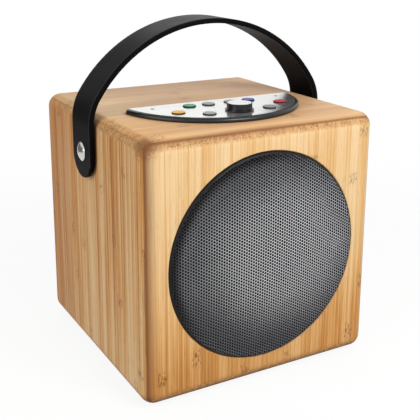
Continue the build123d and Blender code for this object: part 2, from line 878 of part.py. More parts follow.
with BuildPart() as encoder_shaft:
    with BuildSketch(Plane.XY.offset(shaft_bottom_z)):
        with Locations(knob_place):
            Circle(shaft_radius)
    extrude(amount=shaft_top_z - shaft_bottom_z)
save(encoder_shaft, "encoder_shaft")

with BuildPart() as volume_knob:
    with BuildSketch(Plane.XY.offset(knob_bottom_z)):
        with Locations(knob_place):
            Circle(knob_radius)
    extrude(amount=knob_top_z - knob_bottom_z)
    chamfer(volume_knob.faces().sort_by(Axis.Z)[-1].edges(), length=knob_edge_chamfer)
    with BuildSketch(Plane.XY.offset(knob_bottom_z)):
        with Locations(knob_place):
            Circle(knob_skirt_radius)
    extrude(amount=knob_skirt_height)
    with BuildSketch(Plane.XY.offset(knob_bottom_z)):
        with Locations(knob_place):
            Circle(knob_radius - knob_wall)
            Circle(knob_hub_radius, mode=Mode.SUBTRACT)
    extrude(amount=knob_hollow_depth, mode=Mode.SUBTRACT)
    with BuildSketch(Plane.XY.offset(knob_bottom_z)):
        with Locations(knob_place):
            Circle(shaft_radius + running_gap)
    extrude(amount=shaft_engagement, mode=Mode.SUBTRACT)
    with BuildSketch(Plane.XY.offset(knob_top_z)):
        with Locations(knob_place):
            Circle(knob_cap_radius + plate_gap)
    extrude(amount=-knob_cap_thickness, mode=Mode.SUBTRACT)
save(volume_knob, "volume_knob")

with BuildPart() as knob_cap:
    with BuildSketch(Plane.XY.offset(knob_top_z - knob_cap_thickness)):
        with Locations(knob_place):
            Circle(knob_cap_radius)
    extrude(amount=knob_cap_thickness)
save(knob_cap, "knob_cap")

light_chip_top_z = control_top_z + light_chip_height
with BuildPart() as status_light:
    with BuildSketch(Plane.XY.offset(control_top_z)):
        with Locations(light_place):
            Rectangle(light_chip_side, light_chip_side)
    extrude(amount=light_chip_height)
save(status_light, "status_light")

with BuildPart() as light_pipe:
    with BuildSketch(Plane.XY.offset(light_chip_top_z)):
        with Locations(light_place):
            Circle(small_hole_radius - light_pipe_gap)
    extrude(amount=plate_top_z - light_chip_top_z)
    with BuildSketch(Plane.XY.offset(deck_bottom_z)):
        with Locations(light_place):
            Circle(light_pipe_collar_radius)
    extrude(amount=-light_pipe_collar_height)
save(light_pipe, "light_pipe")

with BuildPart() as microphone:
    with BuildSketch(Plane.XY.offset(deck_bottom_z)):
        with Locations(microphone_place):
            Circle(microphone_radius)
    extrude(amount=-microphone_length)
save(microphone, "microphone")

# Strap handle: straight tails on the sides and a three-centred arch over the top
strap_inner_x = side_x + pivot_washer_thickness + strap_side_gap
strap_outer_x = strap_inner_x + strap_thickness
spring_z = top_z - edge_radius + strap_spring_lift
shoulder_x = strap_inner_x - strap_shoulder_radius
crown_rise = strap_rise - strap_shoulder_radius
crown_drop = (shoulder_x**2 - crown_rise**2) / (2 * crown_rise)
crown_radius = strap_rise + crown_drop
crown_angle = degrees(atan2(crown_drop, shoulder_x))
strap_end_z = pivot_z - strap_tail


def strap_line(offset):
    shoulder = strap_shoulder_radius + offset
    start = CenterArc((shoulder_x, spring_z), shoulder, 0, crown_angle)
    CenterArc((0, spring_z - crown_drop), crown_radius + offset, crown_angle, 180 - 2 * crown_angle)
    finish = CenterArc((-shoulder_x, spring_z), shoulder, 180 - crown_angle, crown_angle)
    left = Line(finish @ 1, (-strap_inner_x - offset, strap_end_z))
    right = Line(start @ 0, (strap_inner_x + offset, strap_end_z))
    return left @ 1, right @ 1


tail_centre_z = strap_end_z + strap_width / 2
strap_top_z = spring_z + strap_rise + strap_thickness
with BuildPart() as handle_strap:
    with BuildSketch(Plane.XZ.offset(-handle_pivot_y)):
        with BuildLine():
            inner_left, inner_right = strap_line(0)
            outer_left, outer_right = strap_line(strap_thickness)
            Line(inner_left, outer_left)
            Line(inner_right, outer_right)
        make_face()
    extrude(amount=strap_width / 2, both=True)
    with BuildSketch(Plane.YZ):
        with Locations((handle_pivot_y, tail_centre_z)):
            Circle(strap_width / 2)
            Rectangle(strap_width, strap_top_z - tail_centre_z, align=(Align.CENTER, Align.MIN))
    extrude(amount=strap_outer_x, both=True, mode=Mode.INTERSECT)
    long_edges = handle_strap.edges().filter_by(Axis.X, reverse=True).filter_by(Axis.Y, reverse=True)
    fillet(long_edges, radius=strap_edge_radius)
    with BuildSketch(Plane.YZ):
        with Locations((handle_pivot_y, pivot_z)):
            Circle(bolt_radius + running_gap)
    extrude(amount=strap_outer_x, both=True, mode=Mode.SUBTRACT)
save(handle_strap, "handle_strap")

# Bolts, washers and nuts are drawn on the right and mirrored to the left.
bolt_section = Plane(origin=(0, handle_pivot_y, pivot_z), x_dir=(1, 0, 0), z_dir=(0, -1, 0))
bolt_axis = Axis((0, handle_pivot_y, pivot_z), (1, 0, 0))
pivot_plane = Plane(origin=(0, handle_pivot_y, pivot_z), x_dir=(0, 1, 0), z_dir=(1, 0, 0))
head_x = strap_outer_x + strap_side_gap
bolt_end_x = inner_side_x - nut_thickness - bolt_end_beyond_nut
head_sphere = (bolt_head_radius**2 + bolt_head_height**2) / (2 * bolt_head_height)

with BuildPart() as handle_bolts:
    with BuildSketch(bolt_section):
        with BuildLine():
            RadiusArc((head_x, bolt_head_radius), (head_x + bolt_head_height, 0), head_sphere)
            Polyline(
                (head_x + bolt_head_height, 0),
                (bolt_end_x, 0),
                (bolt_end_x, bolt_radius),
                (head_x, bolt_radius),
                (head_x, bolt_head_radius),
            )
        make_face()
    revolve(axis=bolt_axis)
    mirror(about=Plane.YZ)
save(handle_bolts, "handle_bolts")

with BuildPart() as handle_washers:
    with BuildSketch(pivot_plane.offset(side_x)):
        Circle(pivot_washer_radius)
        Circle(bolt_hole_radius, mode=Mode.SUBTRACT)
    extrude(amount=pivot_washer_thickness)
    mirror(about=Plane.YZ)
save(handle_washers, "handle_washers")

with BuildPart() as handle_nuts:
    with BuildSketch(pivot_plane.offset(inner_side_x)):
        RegularPolygon(nut_radius, 6)
        Circle(bolt_hole_radius, mode=Mode.SUBTRACT)
    extrude(amount=-nut_thickness)
    mirror(about=Plane.YZ)
save(handle_nuts, "handle_nuts")

# Rear sockets on the main circuit board
main_board_face = Plane(origin=(0, main_board_y, mid_z), x_dir=(-1, 0, 0), z_dir=(0, 1, 0))
main_board_drop = port_drop + main_board_rise
standoff_spacing_x = main_board_width - 2 * standoff_inset
standoff_spacing_z = main_board_height - 2 * standoff_inset
socket_reach = rear_y - socket_recess - main_board_y

with BuildPart() as main_board:
    with BuildSketch(main_board_face):
        with Locations((0, main_board_drop)):
            Rectangle(main_board_width, main_board_height)
            with GridLocations(standoff_spacing_x, standoff_spacing_z, 2, 2):
                Circle(small_screw_radius + screw_gap, mode=Mode.SUBTRACT)
    extrude(amount=-circuit_thickness)
save(main_board, "main_board")

with BuildPart() as board_standoffs:
    with BuildSketch(main_board_face):
        with Locations((0, main_board_drop)):
            with GridLocations(standoff_spacing_x, standoff_spacing_z, 2, 2):
                Circle(standoff_radius)
                Circle(small_screw_radius + screw_gap, mode=Mode.SUBTRACT)
    extrude(amount=standoff_length)
save(board_standoffs, "board_standoffs")

with BuildPart() as board_screws:
    with BuildSketch(main_board_face.offset(-circuit_thickness)):
        with Locations((0, main_board_drop)):
            with GridLocations(standoff_spacing_x, standoff_spacing_z, 2, 2):
                Circle(small_screw_head_radius)
    extrude(amount=-small_screw_head_height)
    with BuildSketch(main_board_face.offset(-circuit_thickness)):
        with Locations((0, main_board_drop)):
            with GridLocations(standoff_spacing_x, standoff_spacing_z, 2, 2):
                Circle(small_screw_radius)
    extrude(amount=circuit_thickness + small_screw_grip)
save(board_screws, "board_screws")

with BuildPart() as aux_socket:
    with BuildSketch(main_board_face):
        with Locations((jack_x, port_drop)):
            Rectangle(jack_body_width, jack_body_height)
    extrude(amount=jack_body_length)
    with BuildSketch(main_board_face):
        with Locations((jack_x, port_drop)):
            Circle(jack_nose_radius)
    extrude(amount=socket_reach)
    with BuildSketch(main_board_face.offset(socket_reach)):
        with Locations((jack_x, port_drop)):
            Circle(jack_bore_radius)
    extrude(amount=-jack_bore_depth, mode=Mode.SUBTRACT)
save(aux_socket, "aux_socket")

with BuildPart() as charge_socket:
    with BuildSketch(main_board_face):
        with Locations((charge_x, port_drop)):
            SlotOverall(charge_width, charge_height)
    extrude(amount=socket_reach)
    with BuildSketch(main_board_face.offset(socket_reach)):
        with Locations((charge_x, port_drop)):
            SlotOverall(charge_width - 2 * charge_wall, charge_height - 2 * charge_wall)
    extrude(amount=-charge_depth, mode=Mode.SUBTRACT)
    with BuildSketch(main_board_face.offset(socket_reach - charge_depth)):
        with Locations((charge_x, port_drop)):
            Rectangle(charge_tongue_width, charge_tongue_thickness)
    extrude(amount=charge_tongue_length)
save(charge_socket, "charge_socket")

# Battery: two cells in a cradle on the bottom board
cell_z = inner_floor_z + cradle_floor + cell_radius + cell_gap
cell_plane = Plane(origin=(0, cradle_centre_y, cell_z), x_dir=(0, 1, 0), z_dir=(1, 0, 0))

with BuildPart() as battery_cradle:
    with BuildSketch(Plane.XY.offset(inner_floor_z)):
        with Locations((0, cradle_centre_y)):
            Rectangle(cradle_length, cradle_width)
    extrude(amount=cradle_height)
    with BuildSketch(cell_plane):
        with GridLocations(cell_spacing, 1, 2, 1):
            Circle(cell_radius + cell_gap)
    extrude(amount=cell_length / 2 + cell_gap, both=True, mode=Mode.SUBTRACT)
    with BuildSketch(Plane.XY.offset(inner_floor_z)):
        with Locations((0, cradle_centre_y)):
            with GridLocations(cradle_screw_spacing, 1, 2, 1):
                Rectangle(cradle_ear_width, cradle_ear_width)
                Circle(small_screw_radius + screw_gap, mode=Mode.SUBTRACT)
    extrude(amount=cradle_ear_thickness)
save(battery_cradle, "battery_cradle")

with BuildPart() as battery_cells:
    with BuildSketch(cell_plane):
        with GridLocations(cell_spacing, 1, 2, 1):
            Circle(cell_radius)
    extrude(amount=cell_length / 2, both=True)
save(battery_cells, "battery_cells")

with BuildPart() as cradle_screws:
    with BuildSketch(Plane.XY.offset(inner_floor_z + cradle_ear_thickness)):
        with Locations((0, cradle_centre_y)):
            with GridLocations(cradle_screw_spacing, 1, 2, 1):
                Circle(small_screw_head_radius)
    extrude(amount=small_screw_head_height)
    with BuildSketch(Plane.XY.offset(inner_floor_z + cradle_ear_thickness)):
        with Locations((0, cradle_centre_y)):
            with GridLocations(cradle_screw_spacing, 1, 2, 1):
                Circle(small_screw_radius)
    extrude(amount=-cradle_ear_thickness - small_screw_grip)
save(cradle_screws, "cradle_screws")

# Wiring: terminals on the driver's flange, sockets on the boards, and the leads and ribbon between them
terminal_depth = flange_depth + flange_thickness
terminal_z = mid_z - flange_side / 2 + terminal_edge_gap
terminal_end_y = front_y + terminal_depth + terminal_length
with BuildPart() as driver_terminals:
    with BuildSketch(front_face.offset(-terminal_depth)):
        with Locations((0, terminal_z - mid_z)):
            Rectangle(terminal_width, terminal_thickness, align=(Align.CENTER, Align.MIN))
    extrude(amount=-terminal_length)
save(driver_terminals, "driver_terminals")

board_centre_z = mid_z + main_board_drop
socket_mouth_y = main_board_front_y - wire_socket_depth
ribbon_start_y = panel_back_y - ribbon_start_setback
ribbon_end_z = board_centre_z + ribbon_socket_rise
wire_socket_face = Plane(origin=(0, main_board_front_y, board_centre_z), x_dir=(1, 0, 0), z_dir=(0, -1, 0))
with BuildPart() as wire_sockets:
    with BuildSketch(wire_socket_face):
        with Locations(battery_socket_spot, speaker_socket_spot):
            Rectangle(wire_socket_width, wire_socket_height)
        with Locations((0, ribbon_socket_rise)):
            Rectangle(ribbon_socket_width, wire_socket_height)
    extrude(amount=wire_socket_depth)
    with BuildSketch(Plane.XY.offset(control_bottom_z)):
        with Locations((0, ribbon_start_y)):
            Rectangle(ribbon_socket_width, wire_socket_height)
    extrude(amount=-wire_socket_depth)
save(wire_sockets, "wire_sockets")

ribbon_top_z = control_bottom_z - wire_socket_depth
ribbon_down_y = main_board_front_y - wire_socket_depth - ribbon_board_gap
ribbon_points = [
    (ribbon_start_y, ribbon_top_z),
    (ribbon_start_y, ribbon_top_z - ribbon_drop),
    (ribbon_down_y, ribbon_top_z - ribbon_drop - ribbon_fall),
    (ribbon_down_y, ribbon_end_z),
    (socket_mouth_y, ribbon_end_z),
]
with BuildPart() as panel_ribbon:
    with BuildSketch(Plane.YZ):
        with BuildLine():
            FilletPolyline(*ribbon_points, radius=ribbon_bend)
        trace(line_width=ribbon_thickness)
    extrude(amount=ribbon_width / 2, both=True)
save(panel_ribbon, "panel_ribbon")


def wire(points):
    with BuildPart() as lead:
        with BuildLine() as route:
            FilletPolyline(*points, radius=lead_bend)
        with BuildSketch(route.line ^ 0):
            Circle(wire_radius)
        sweep()
    print("wire of", round(route.wires()[0].length, 1), "mm, bends of", lead_bend, "mm")
    return lead.part


terminal_middle_z = terminal_z + terminal_thickness / 2
cradle_side_x = cradle_screw_spacing / 2 + cradle_ear_width / 2
speaker_socket_z = board_centre_z + speaker_socket_spot[1]
cell_top_z = cell_z + cell_radius
speaker_wires = []
for step in (-wire_spacing / 2, wire_spacing / 2):
    speaker_wires.append(
        wire(
            [
                (step, terminal_end_y, terminal_middle_z),
                (step, terminal_end_y + 3 * lead_bend, terminal_middle_z),
                (step - cradle_side_x, cradle_centre_y - cradle_width / 2, terminal_middle_z),
                (step - cradle_side_x, cradle_centre_y, cell_top_z),
                (speaker_socket_spot[0] + step, socket_mouth_y - 2 * lead_bend, speaker_socket_z),
                (speaker_socket_spot[0] + step, socket_mouth_y, speaker_socket_z),
            ]
        )
    )
with BuildPart() as speaker_leads:
    add(speaker_wires)
save(speaker_leads, "speaker_leads")

battery_socket_z = board_centre_z + battery_socket_spot[1]
battery_wires = []
for side in (-1, 1):
    start_y = cradle_centre_y + side * cell_spacing / 2
    run_x = cell_length / 2 + lead_exit - side * wire_spacing / 2
    end_x = battery_socket_spot[0] + side * wire_spacing / 2
    battery_wires.append(
        wire(
            [
                (cell_length / 2, start_y, cell_z + lead_rise),
                (run_x, start_y, cell_z + lead_rise),
                (end_x, socket_mouth_y - lead_bend, battery_socket_z),
                (end_x, socket_mouth_y, battery_socket_z),
            ]
        )
    )
with BuildPart() as battery_leads:
    add(battery_wires)
save(battery_leads, "battery_leads")
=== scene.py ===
import math
import bmesh
import bpy
from mathutils import Matrix, Vector
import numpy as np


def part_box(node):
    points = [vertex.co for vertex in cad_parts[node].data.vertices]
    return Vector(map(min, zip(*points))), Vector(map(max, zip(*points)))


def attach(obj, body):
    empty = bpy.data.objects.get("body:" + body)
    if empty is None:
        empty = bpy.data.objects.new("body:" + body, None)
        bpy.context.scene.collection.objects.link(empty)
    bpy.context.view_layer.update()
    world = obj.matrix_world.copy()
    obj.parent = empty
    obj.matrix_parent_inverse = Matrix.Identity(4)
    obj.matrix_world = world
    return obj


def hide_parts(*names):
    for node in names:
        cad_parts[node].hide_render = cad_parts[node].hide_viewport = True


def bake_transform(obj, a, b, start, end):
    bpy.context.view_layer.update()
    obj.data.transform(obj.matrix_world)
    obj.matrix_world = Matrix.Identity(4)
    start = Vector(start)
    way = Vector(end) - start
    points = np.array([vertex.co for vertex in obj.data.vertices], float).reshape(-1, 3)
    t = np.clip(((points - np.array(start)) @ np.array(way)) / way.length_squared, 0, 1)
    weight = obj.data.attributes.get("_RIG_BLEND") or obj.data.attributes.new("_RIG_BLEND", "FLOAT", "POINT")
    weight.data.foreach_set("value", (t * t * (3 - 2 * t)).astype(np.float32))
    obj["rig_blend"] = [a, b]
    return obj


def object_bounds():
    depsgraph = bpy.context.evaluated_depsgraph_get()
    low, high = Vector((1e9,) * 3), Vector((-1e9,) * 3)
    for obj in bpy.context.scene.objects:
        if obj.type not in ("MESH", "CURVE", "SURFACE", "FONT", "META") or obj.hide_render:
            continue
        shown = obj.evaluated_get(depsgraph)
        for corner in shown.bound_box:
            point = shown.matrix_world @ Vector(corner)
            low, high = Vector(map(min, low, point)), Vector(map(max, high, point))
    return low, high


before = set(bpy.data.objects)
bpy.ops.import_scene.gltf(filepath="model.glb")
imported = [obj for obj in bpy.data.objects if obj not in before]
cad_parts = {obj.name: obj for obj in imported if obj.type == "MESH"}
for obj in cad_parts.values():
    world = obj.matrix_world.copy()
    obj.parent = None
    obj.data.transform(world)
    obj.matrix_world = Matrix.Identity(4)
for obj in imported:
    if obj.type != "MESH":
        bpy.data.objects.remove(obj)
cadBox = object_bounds()
mm = 0.001
print("frame loaded:", len(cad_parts), "nodes")


# Small helpers for modelling by operators

def startObject(name):
    piece = bpy.context.object
    piece.name = name
    piece.data.name = name
    return piece


def deselectAll():
    if bpy.context.mode != "OBJECT":
        bpy.ops.object.mode_set(mode="OBJECT")
    bpy.ops.object.select_all(action="DESELECT")


def selectOnly(piece):
    deselectAll()
    piece.select_set(True)
    bpy.context.view_layer.objects.active = piece


def applyPlace(piece):
    selectOnly(piece)
    bpy.ops.object.transform_apply(location=True, rotation=True, scale=True)


def editMesh(piece):
    selectOnly(piece)
    bpy.ops.object.mode_set(mode="EDIT")
    bpy.ops.mesh.select_mode(type="VERT")
    bpy.ops.mesh.select_all(action="SELECT")


def pickFaces(piece, test):
    bpy.ops.mesh.select_mode(type="FACE")
    bpy.ops.mesh.select_all(action="DESELECT")
    mesh = bmesh.from_edit_mesh(piece.data)
    for face in mesh.faces:
        face.select_set(test(face.calc_center_median()))
    bmesh.update_edit_mesh(piece.data)


def leaveEdit():
    bpy.ops.object.mode_set(mode="OBJECT")


def applyModifier(piece, kind, settings):
    modifier = piece.modifiers.new(kind.lower(), kind)
    for key, value in settings.items():
        setattr(modifier, key, value)
    selectOnly(piece)
    bpy.ops.object.modifier_apply(modifier=modifier.name)


def settle(piece, body, slot, material, *nodes):
    applyPlace(piece)
    piece.data.materials.clear()
    piece.data.materials.append(material)
    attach(piece, body)
    if nodes:
        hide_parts(*nodes)


# Shader sums are written as Python: a Socket is one output of a node

white = (1.0, 1.0, 1.0, 1.0)


def linear(value):
    part = value / 255
    return part / 12.92 if part <= 0.04045 else ((part + 0.055) / 1.055) ** 2.4


def tint(red, green, blue):
    return (linear(red), linear(green), linear(blue), 1.0)


def shaded(colour, part):
    return tint(*[value * part for value in colour])


class Socket:
    def __init__(self, tree, end=None):
        self.tree = tree
        self.end = end

    def node(self, kind, settings=None, values=None, out=0):
        made = self.tree.nodes.new("ShaderNode" + kind)
        for key, value in (settings or {}).items():
            if key == "stops":
                self.fillRamp(made.color_ramp, value)
            else:
                setattr(made, key, value)
        for key, value in (values or {}).items():
            if isinstance(value, Socket):
                self.tree.links.new(value.end, made.inputs[key])
            else:
                made.inputs[key].default_value = value
        return Socket(self.tree, made.outputs[out] if made.outputs else None)

    def fillRamp(self, ramp, stops):
        while len(ramp.elements) < len(stops):
            ramp.elements.new(1.0)
        for element, (place, colour) in zip(ramp.elements, stops):
            element.position = place
            element.color = colour

    def maths(self, operation, first, second=0.0):
        return self.node("Math", {"operation": operation}, {0: first, 1: second})

    def __add__(self, other):
        return self.maths("ADD", self, other)

    __radd__ = __add__

    def __sub__(self, other):
        return self.maths("SUBTRACT", self, other)

    def __rsub__(self, other):
        return self.maths("SUBTRACT", other, self)

    def __mul__(self, other):
        return self.maths("MULTIPLY", self, other)

    __rmul__ = __mul__

    def __truediv__(self, other):
        return self.maths("DIVIDE", self, other)

    def __rtruediv__(self, other):
        return self.maths("DIVIDE", other, self)

    def __abs__(self):
        return self.maths("ABSOLUTE", self)

    def least(self, other):
        return self.maths("MINIMUM", self, other)

    def most(self, other):
        return self.maths("MAXIMUM", self, other)

    def fraction(self):
        return self.maths("FRACT", self)

    def centred(self):
        return self - 0.5       # for noise, which swings round a half

    def rise(self, low, high):
        return self.node("MapRange", {"interpolation_type": "SMOOTHSTEP"},
                         {"Value": self, "From Min": low, "From Max": high})

    def mix(self, first, second):
        return self.node("Mix", {"data_type": "RGBA"}, {0: self, 6: first, 7: second}, 2)


def newMaterial(name):
    material = bpy.data.materials.new(name)
    material.use_nodes = True
    material.node_tree.nodes.clear()
    return material, Socket(material.node_tree)


def closeMaterial(tree, values):
    shader = tree.node("BsdfPrincipled", None, values)
    tree.node("OutputMaterial", None, {"Surface": shader})


def parted(tree, vector):
    return [tree.node("SeparateXYZ", None, {0: vector}, out) for out in range(3)]


def axesInMm(tree):
    place = tree.node("TexCoord", out="Object")
    return parted(tree, tree.node("VectorMath", {"operation": "SCALE"}, {0: place, "Scale": 1 / mm}))


def facings(tree):
    return parted(tree, tree.node("NewGeometry", out="Normal"))


def joined(tree, x, y, z):
    return tree.node("CombineXYZ", None, {0: x, 1: y, 2: z})


def reach(tree, x, y):
    return tree.node("VectorMath", {"operation": "LENGTH"}, {0: joined(tree, x, y, 0.0)}, "Value")


def gapTo(tree, spot, middle):
    return tree.node("VectorMath", {"operation": "DISTANCE"}, {0: spot, 1: middle}, "Value")


def noise(tree, vector, detail, roughness, scale=1.0):
    values = {"Vector": vector, "Scale": scale, "Detail": detail, "Roughness": roughness}
    return tree.node("TexNoise", None, values, "Fac")


def bump(tree, height, strength, depth):
    return tree.node("Bump", None, {"Height": height, "Strength": strength, "Distance": depth * mm})


# Where the cabinet's outer faces and the grille are, from the CAD nodes

outerBoards = ("front_board", "left_board", "right_board", "top_board", "bottom_board")
cabinetLow = [min(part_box(board)[0][axis] for board in outerBoards) / mm for axis in range(3)]
cabinetHigh = [max(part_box(board)[1][axis] for board in outerBoards) / mm for axis in range(3)]
grilleLow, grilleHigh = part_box("grille")
grilleRadius = (grilleHigh[0] - grilleLow[0]) / 2
grilleMiddle = ((grilleLow[0] + grilleHigh[0]) / 2, (grilleLow[2] + grilleHigh[2]) / 2)


def besideGrille(axes):
    return axes[0] - grilleMiddle[0] / mm, axes[2] - grilleMiddle[1] / mm     # mm to the right and up


# Bamboo: laminated strips with fibres and knuckles, speckled end grain on the roundings, mitre joints.
# Pairs such as glue, rear or joint are where a soft edge begins and ends, in mm unless a note says otherwise

bambooWood = {
    "cream": tint(248, 214, 164),
    "straw": tint(238, 191, 130),
    "honey": tint(216, 154, 86),
    "amber": tint(176, 112, 54),
    "ramp": ((0.0, "cream"), (0.3, "straw"), (0.64, "honey"), (1.0, "amber")),
    "toneShares": {"streak": 0.45, "fibre": 0.95, "fine": 0.3},
    "stripShare": 0.24,
    "driftShare": 0.3,
    "dark": tint(96, 56, 26),
    "dash": (0.62, 0.76),       # levels of its noise
    "dashAmount": 0.22,
    "roughness": 0.5,
    "fibreRough": 0.16,
    "endRough": 0.15,
    "specular": 0.18,
    "relief": {"fibre": 0.6, "fine": 0.4, "glue": 0.5, "dash": 0.4, "pores": 0.8},
    "bump": (0.5, 0.06),        # strength, and depth in mm
    # painted shade in the recess behind the grille
    "recessShade": tint(14, 13, 13),
    "seatPast": (0.2, 0.5),     # past the grille's edge
    "seatBehind": (0.4, 0.8),   # behind the front face
}

# Noise in the wood, from the sway of the strips to hair lines: waves per mm across the strips, along the
# grain and through the board, to which of these the board's seed is added, and its detail and roughness
bambooNoises = {
    "sway": {"waves": (0.03, 0.012, 0.0), "seeded": (0, 0, 1), "detail": 1.0, "rough": 0.55},
    "streak": {"waves": (0.42, 0.006, 0.3), "seeded": (1, 0, 0), "detail": 3.0, "rough": 0.6},
    "fibre": {"waves": (1.05, 0.008, 0.5), "seeded": (1, 0, 0), "detail": 2.0, "rough": 0.5},
    "fine": {"waves": (3.4, 0.05, 1.2), "seeded": (0, 0, 1), "detail": 3.0, "rough": 0.6},
    "dash": {"waves": (2.6, 0.11, 1.0), "seeded": (1, 0, 0), "detail": 1.0, "rough": 0.55},
    "drift": {"waves": (0.05, 0.02, 0.0), "seeded": (0, 0, 1), "detail": 2.0, "rough": 0.55},
    "smear": {"waves": (0.9, 0.22, 0.0), "seeded": (1, 0, 1), "detail": 2.0, "rough": 0.7},
    "dashes": {"waves": (1.3, 0.34, 0.0), "seeded": (1, 0, 1), "detail": 2.0, "rough": 0.6},
}

# Per board: axis across the strips, axis along the grain, how warm it is at the top, how much painted shade
# makes it darker and warmer towards the floor (below 0, painted light makes it paler there), how strongly its
# strips differ, how far the browned corner reaches from the mitre, how much rose there is in it, chosen
# knuckles as places across and along, and broad drifts of tone as place, radius and amount
bambooBoards = {
    "front_board": {
        "across": 0, "along": 2, "seed": 3.1, "tone": 0.12, "heightShade": 0.44,
        "contrast": 1.1, "band": 9.0, "rose": 0.0,
        "knuckles": ((-65, 18), (-44, 26), (-13, 9), (71, 47), (62, 16)),
        "drifts": (((-60, -74, 10), 70, 0.24), ((78, -74, 90), 55, -0.2), ((60, -74, 8), 50, 0.1)),
    },
    "left_board": {
        "across": 1, "along": 2, "seed": 7.7, "tone": 0.5, "heightShade": -0.2,
        "contrast": 2.2, "band": 2.4, "rose": 0.0, "knuckles": (),
        "drifts": (((-75, 74, 60), 60, 0.12), ((-75, -40, 10), 60, -0.12)),
    },
    "right_board": {
        "across": 1, "along": 2, "seed": 12.4, "tone": 0.44, "heightShade": 0.0,
        "contrast": 1.2, "band": 4.0, "rose": 0.0, "knuckles": (), "drifts": (),
    },
    "top_board": {
        "across": 1, "along": 0, "seed": 18.9, "tone": 0.42, "heightShade": 0.0,
        "contrast": 0.7, "band": 1.2, "rose": 0.6, "knuckles": (),
        "drifts": (((-75, 20, 152), 70, -0.36), ((75, 20, 152), 70, 0.16), ((0, -70, 152), 45, 0.08)),
    },
    "bottom_board": {
        "across": 1, "along": 0, "seed": 23.3, "tone": 0.5, "heightShade": 0.0,
        "contrast": 0.8, "band": 1.2, "rose": 0.2, "knuckles": (), "drifts": (),
    },
    "rear_panel": {
        "across": 0, "along": 2, "seed": 31.6, "tone": 0.3, "heightShade": 0.2,
        "contrast": 1.0, "band": 0.0, "rose": 0.0, "knuckles": (), "drifts": (),
    },
    "corner_blocks": {
        "across": 0, "along": 1, "seed": 41.2, "tone": 0.4, "heightShade": 0.0,
        "contrast": 1.0, "band": 0.0, "rose": 0.0, "knuckles": (), "drifts": (),
    },
}


def woodNoise(tree, places, seed, name):
    layer = bambooNoises[name]
    steps = zip(places, layer["waves"], layer["seeded"])
    spot = joined(tree, *[place * wave + seed * seeded for place, wave, seeded in steps])
    return noise(tree, spot, layer["detail"], layer["rough"])


bambooStrips = {
    "width": 6.2,               # mm
    "spread": 0.85,             # how unequal the strips are, from 0 to 1
    "sway": 1.6,                # mm
    "seedStep": 17.0,           # mm by which a seed of 1 moves the strips
    "glue": (0.05, 0.45),       # from the joint between two strips
    "glueAmount": 0.1,
}


def layStrips(tree, across, sway, seed):
    # Strips side by side: each one's tone, each one's shift along the grain, and the glue lines
    width = bambooStrips["width"]
    place = (across + sway * bambooStrips["sway"] + seed * bambooStrips["seedStep"]) / width
    cells = {"W": place, "Scale": 1.0, "Randomness": bambooStrips["spread"]}
    edges = {"voronoi_dimensions": "1D", "feature": "DISTANCE_TO_EDGE"}
    cell = tree.node("TexVoronoi", {"voronoi_dimensions": "1D", "feature": "F1"}, cells, "Color")
    glueGap = tree.node("TexVoronoi", edges, cells, "Distance") * width
    tone, shift = [tree.node("SeparateColor", None, {0: cell}, out) for out in range(2)]
    return tone, shift, 1 - glueGap.rise(*bambooStrips["glue"])


def woodTone(tree, style, layers, stripTone, axes, spot):
    height = (axes[2] - cabinetLow[2]) / (cabinetHigh[2] - cabinetLow[2])
    tone = stripTone.centred() * bambooWood["stripShare"]
    for name, share in bambooWood["toneShares"].items():
        tone = tone + layers[name].centred() * share
    tone = tone * style["contrast"] + layers["drift"].centred() * bambooWood["driftShare"]
    # Painted shade by height: darker and warmer towards the floor, or paler there, as painted light, where
    # the amount is below 0
    tone = tone + (1 - height) * style["heightShade"] + style["tone"]
    for middle, size, amount in style["drifts"]:
        tone = tone + (1 - gapTo(tree, spot, middle).rise(0.0, size)) * amount
    return tone


bambooBlush = {
    "rosy": tint(196, 166, 142),
    "roseRear": (-115.0, 10.0),     # more rose towards the rear
    "roseRearAmount": 0.5,
    "roseDrift": (0.2, 0.7),        # levels of its noise
    "roseDriftAmount": 0.2,
    "roseAmount": 0.3,
    "roseLeft": (25.0, 75.0),       # less of it to the left of the middle
    "roseLeftLoss": 0.7,
    "russet": tint(184, 116, 70),
    "rustRear": (18.0, 52.0),
    "rustRearAmount": 0.2,
    "rustPerStrip": 0.35,
    "rustAmount": 0.14,
}


def roseShare(style, drift, axes):
    blush = bambooBlush
    rose = axes[1].rise(*blush["roseRear"]) * blush["roseRearAmount"]
    rose = rose + drift.rise(*blush["roseDrift"]) * blush["roseDriftAmount"] + blush["roseAmount"]
    rose = rose * (1 - (0 - axes[0]).rise(*blush["roseLeft"]) * blush["roseLeftLoss"])
    return rose * style["rose"]


def rustShare(stripShift, axes):
    blush = bambooBlush
    perStrip = blush["rustRearAmount"] + stripShift * blush["rustPerStrip"]
    return axes[1].rise(*blush["rustRear"]) * perStrip + blush["rustAmount"]


bambooKnuckles = {
    "colour": tint(118, 72, 36),
    "period": 240.0,            # mm along a strip
    "jump": 5.0,                # how far the strips differ in height, in periods
    "smear": 7.0,               # mm
    "dashes": (0.47, 0.6),      # levels of their noise
    "length": (1.0, 5.5),
    "amount": 0.55,
    "placedWidth": (2.0, 3.6),
    "placedLength": (1.5, 7.5),
    "placedAmount": 0.8,
}


def knuckleShare(style, layers, across, along, stripShift):
    # Clusters of short dark dashes across one strip, at random heights and at a few chosen places
    values = bambooKnuckles
    smear = layers["smear"].centred() * values["smear"]
    run = (along / values["period"] + stripShift * values["jump"]).fraction().centred() * values["period"]
    knuckle = (1 - abs(run + smear).rise(*values["length"])) * values["amount"]
    for acrossPlace, alongPlace in style["knuckles"]:
        inStrip = 1 - abs(across - acrossPlace).rise(*values["placedWidth"])
        inLength = 1 - abs(along - alongPlace + smear).rise(*values["placedLength"])
        knuckle = knuckle.most(inLength * inStrip * values["placedAmount"])
    return knuckle * layers["dashes"].rise(*values["dashes"])


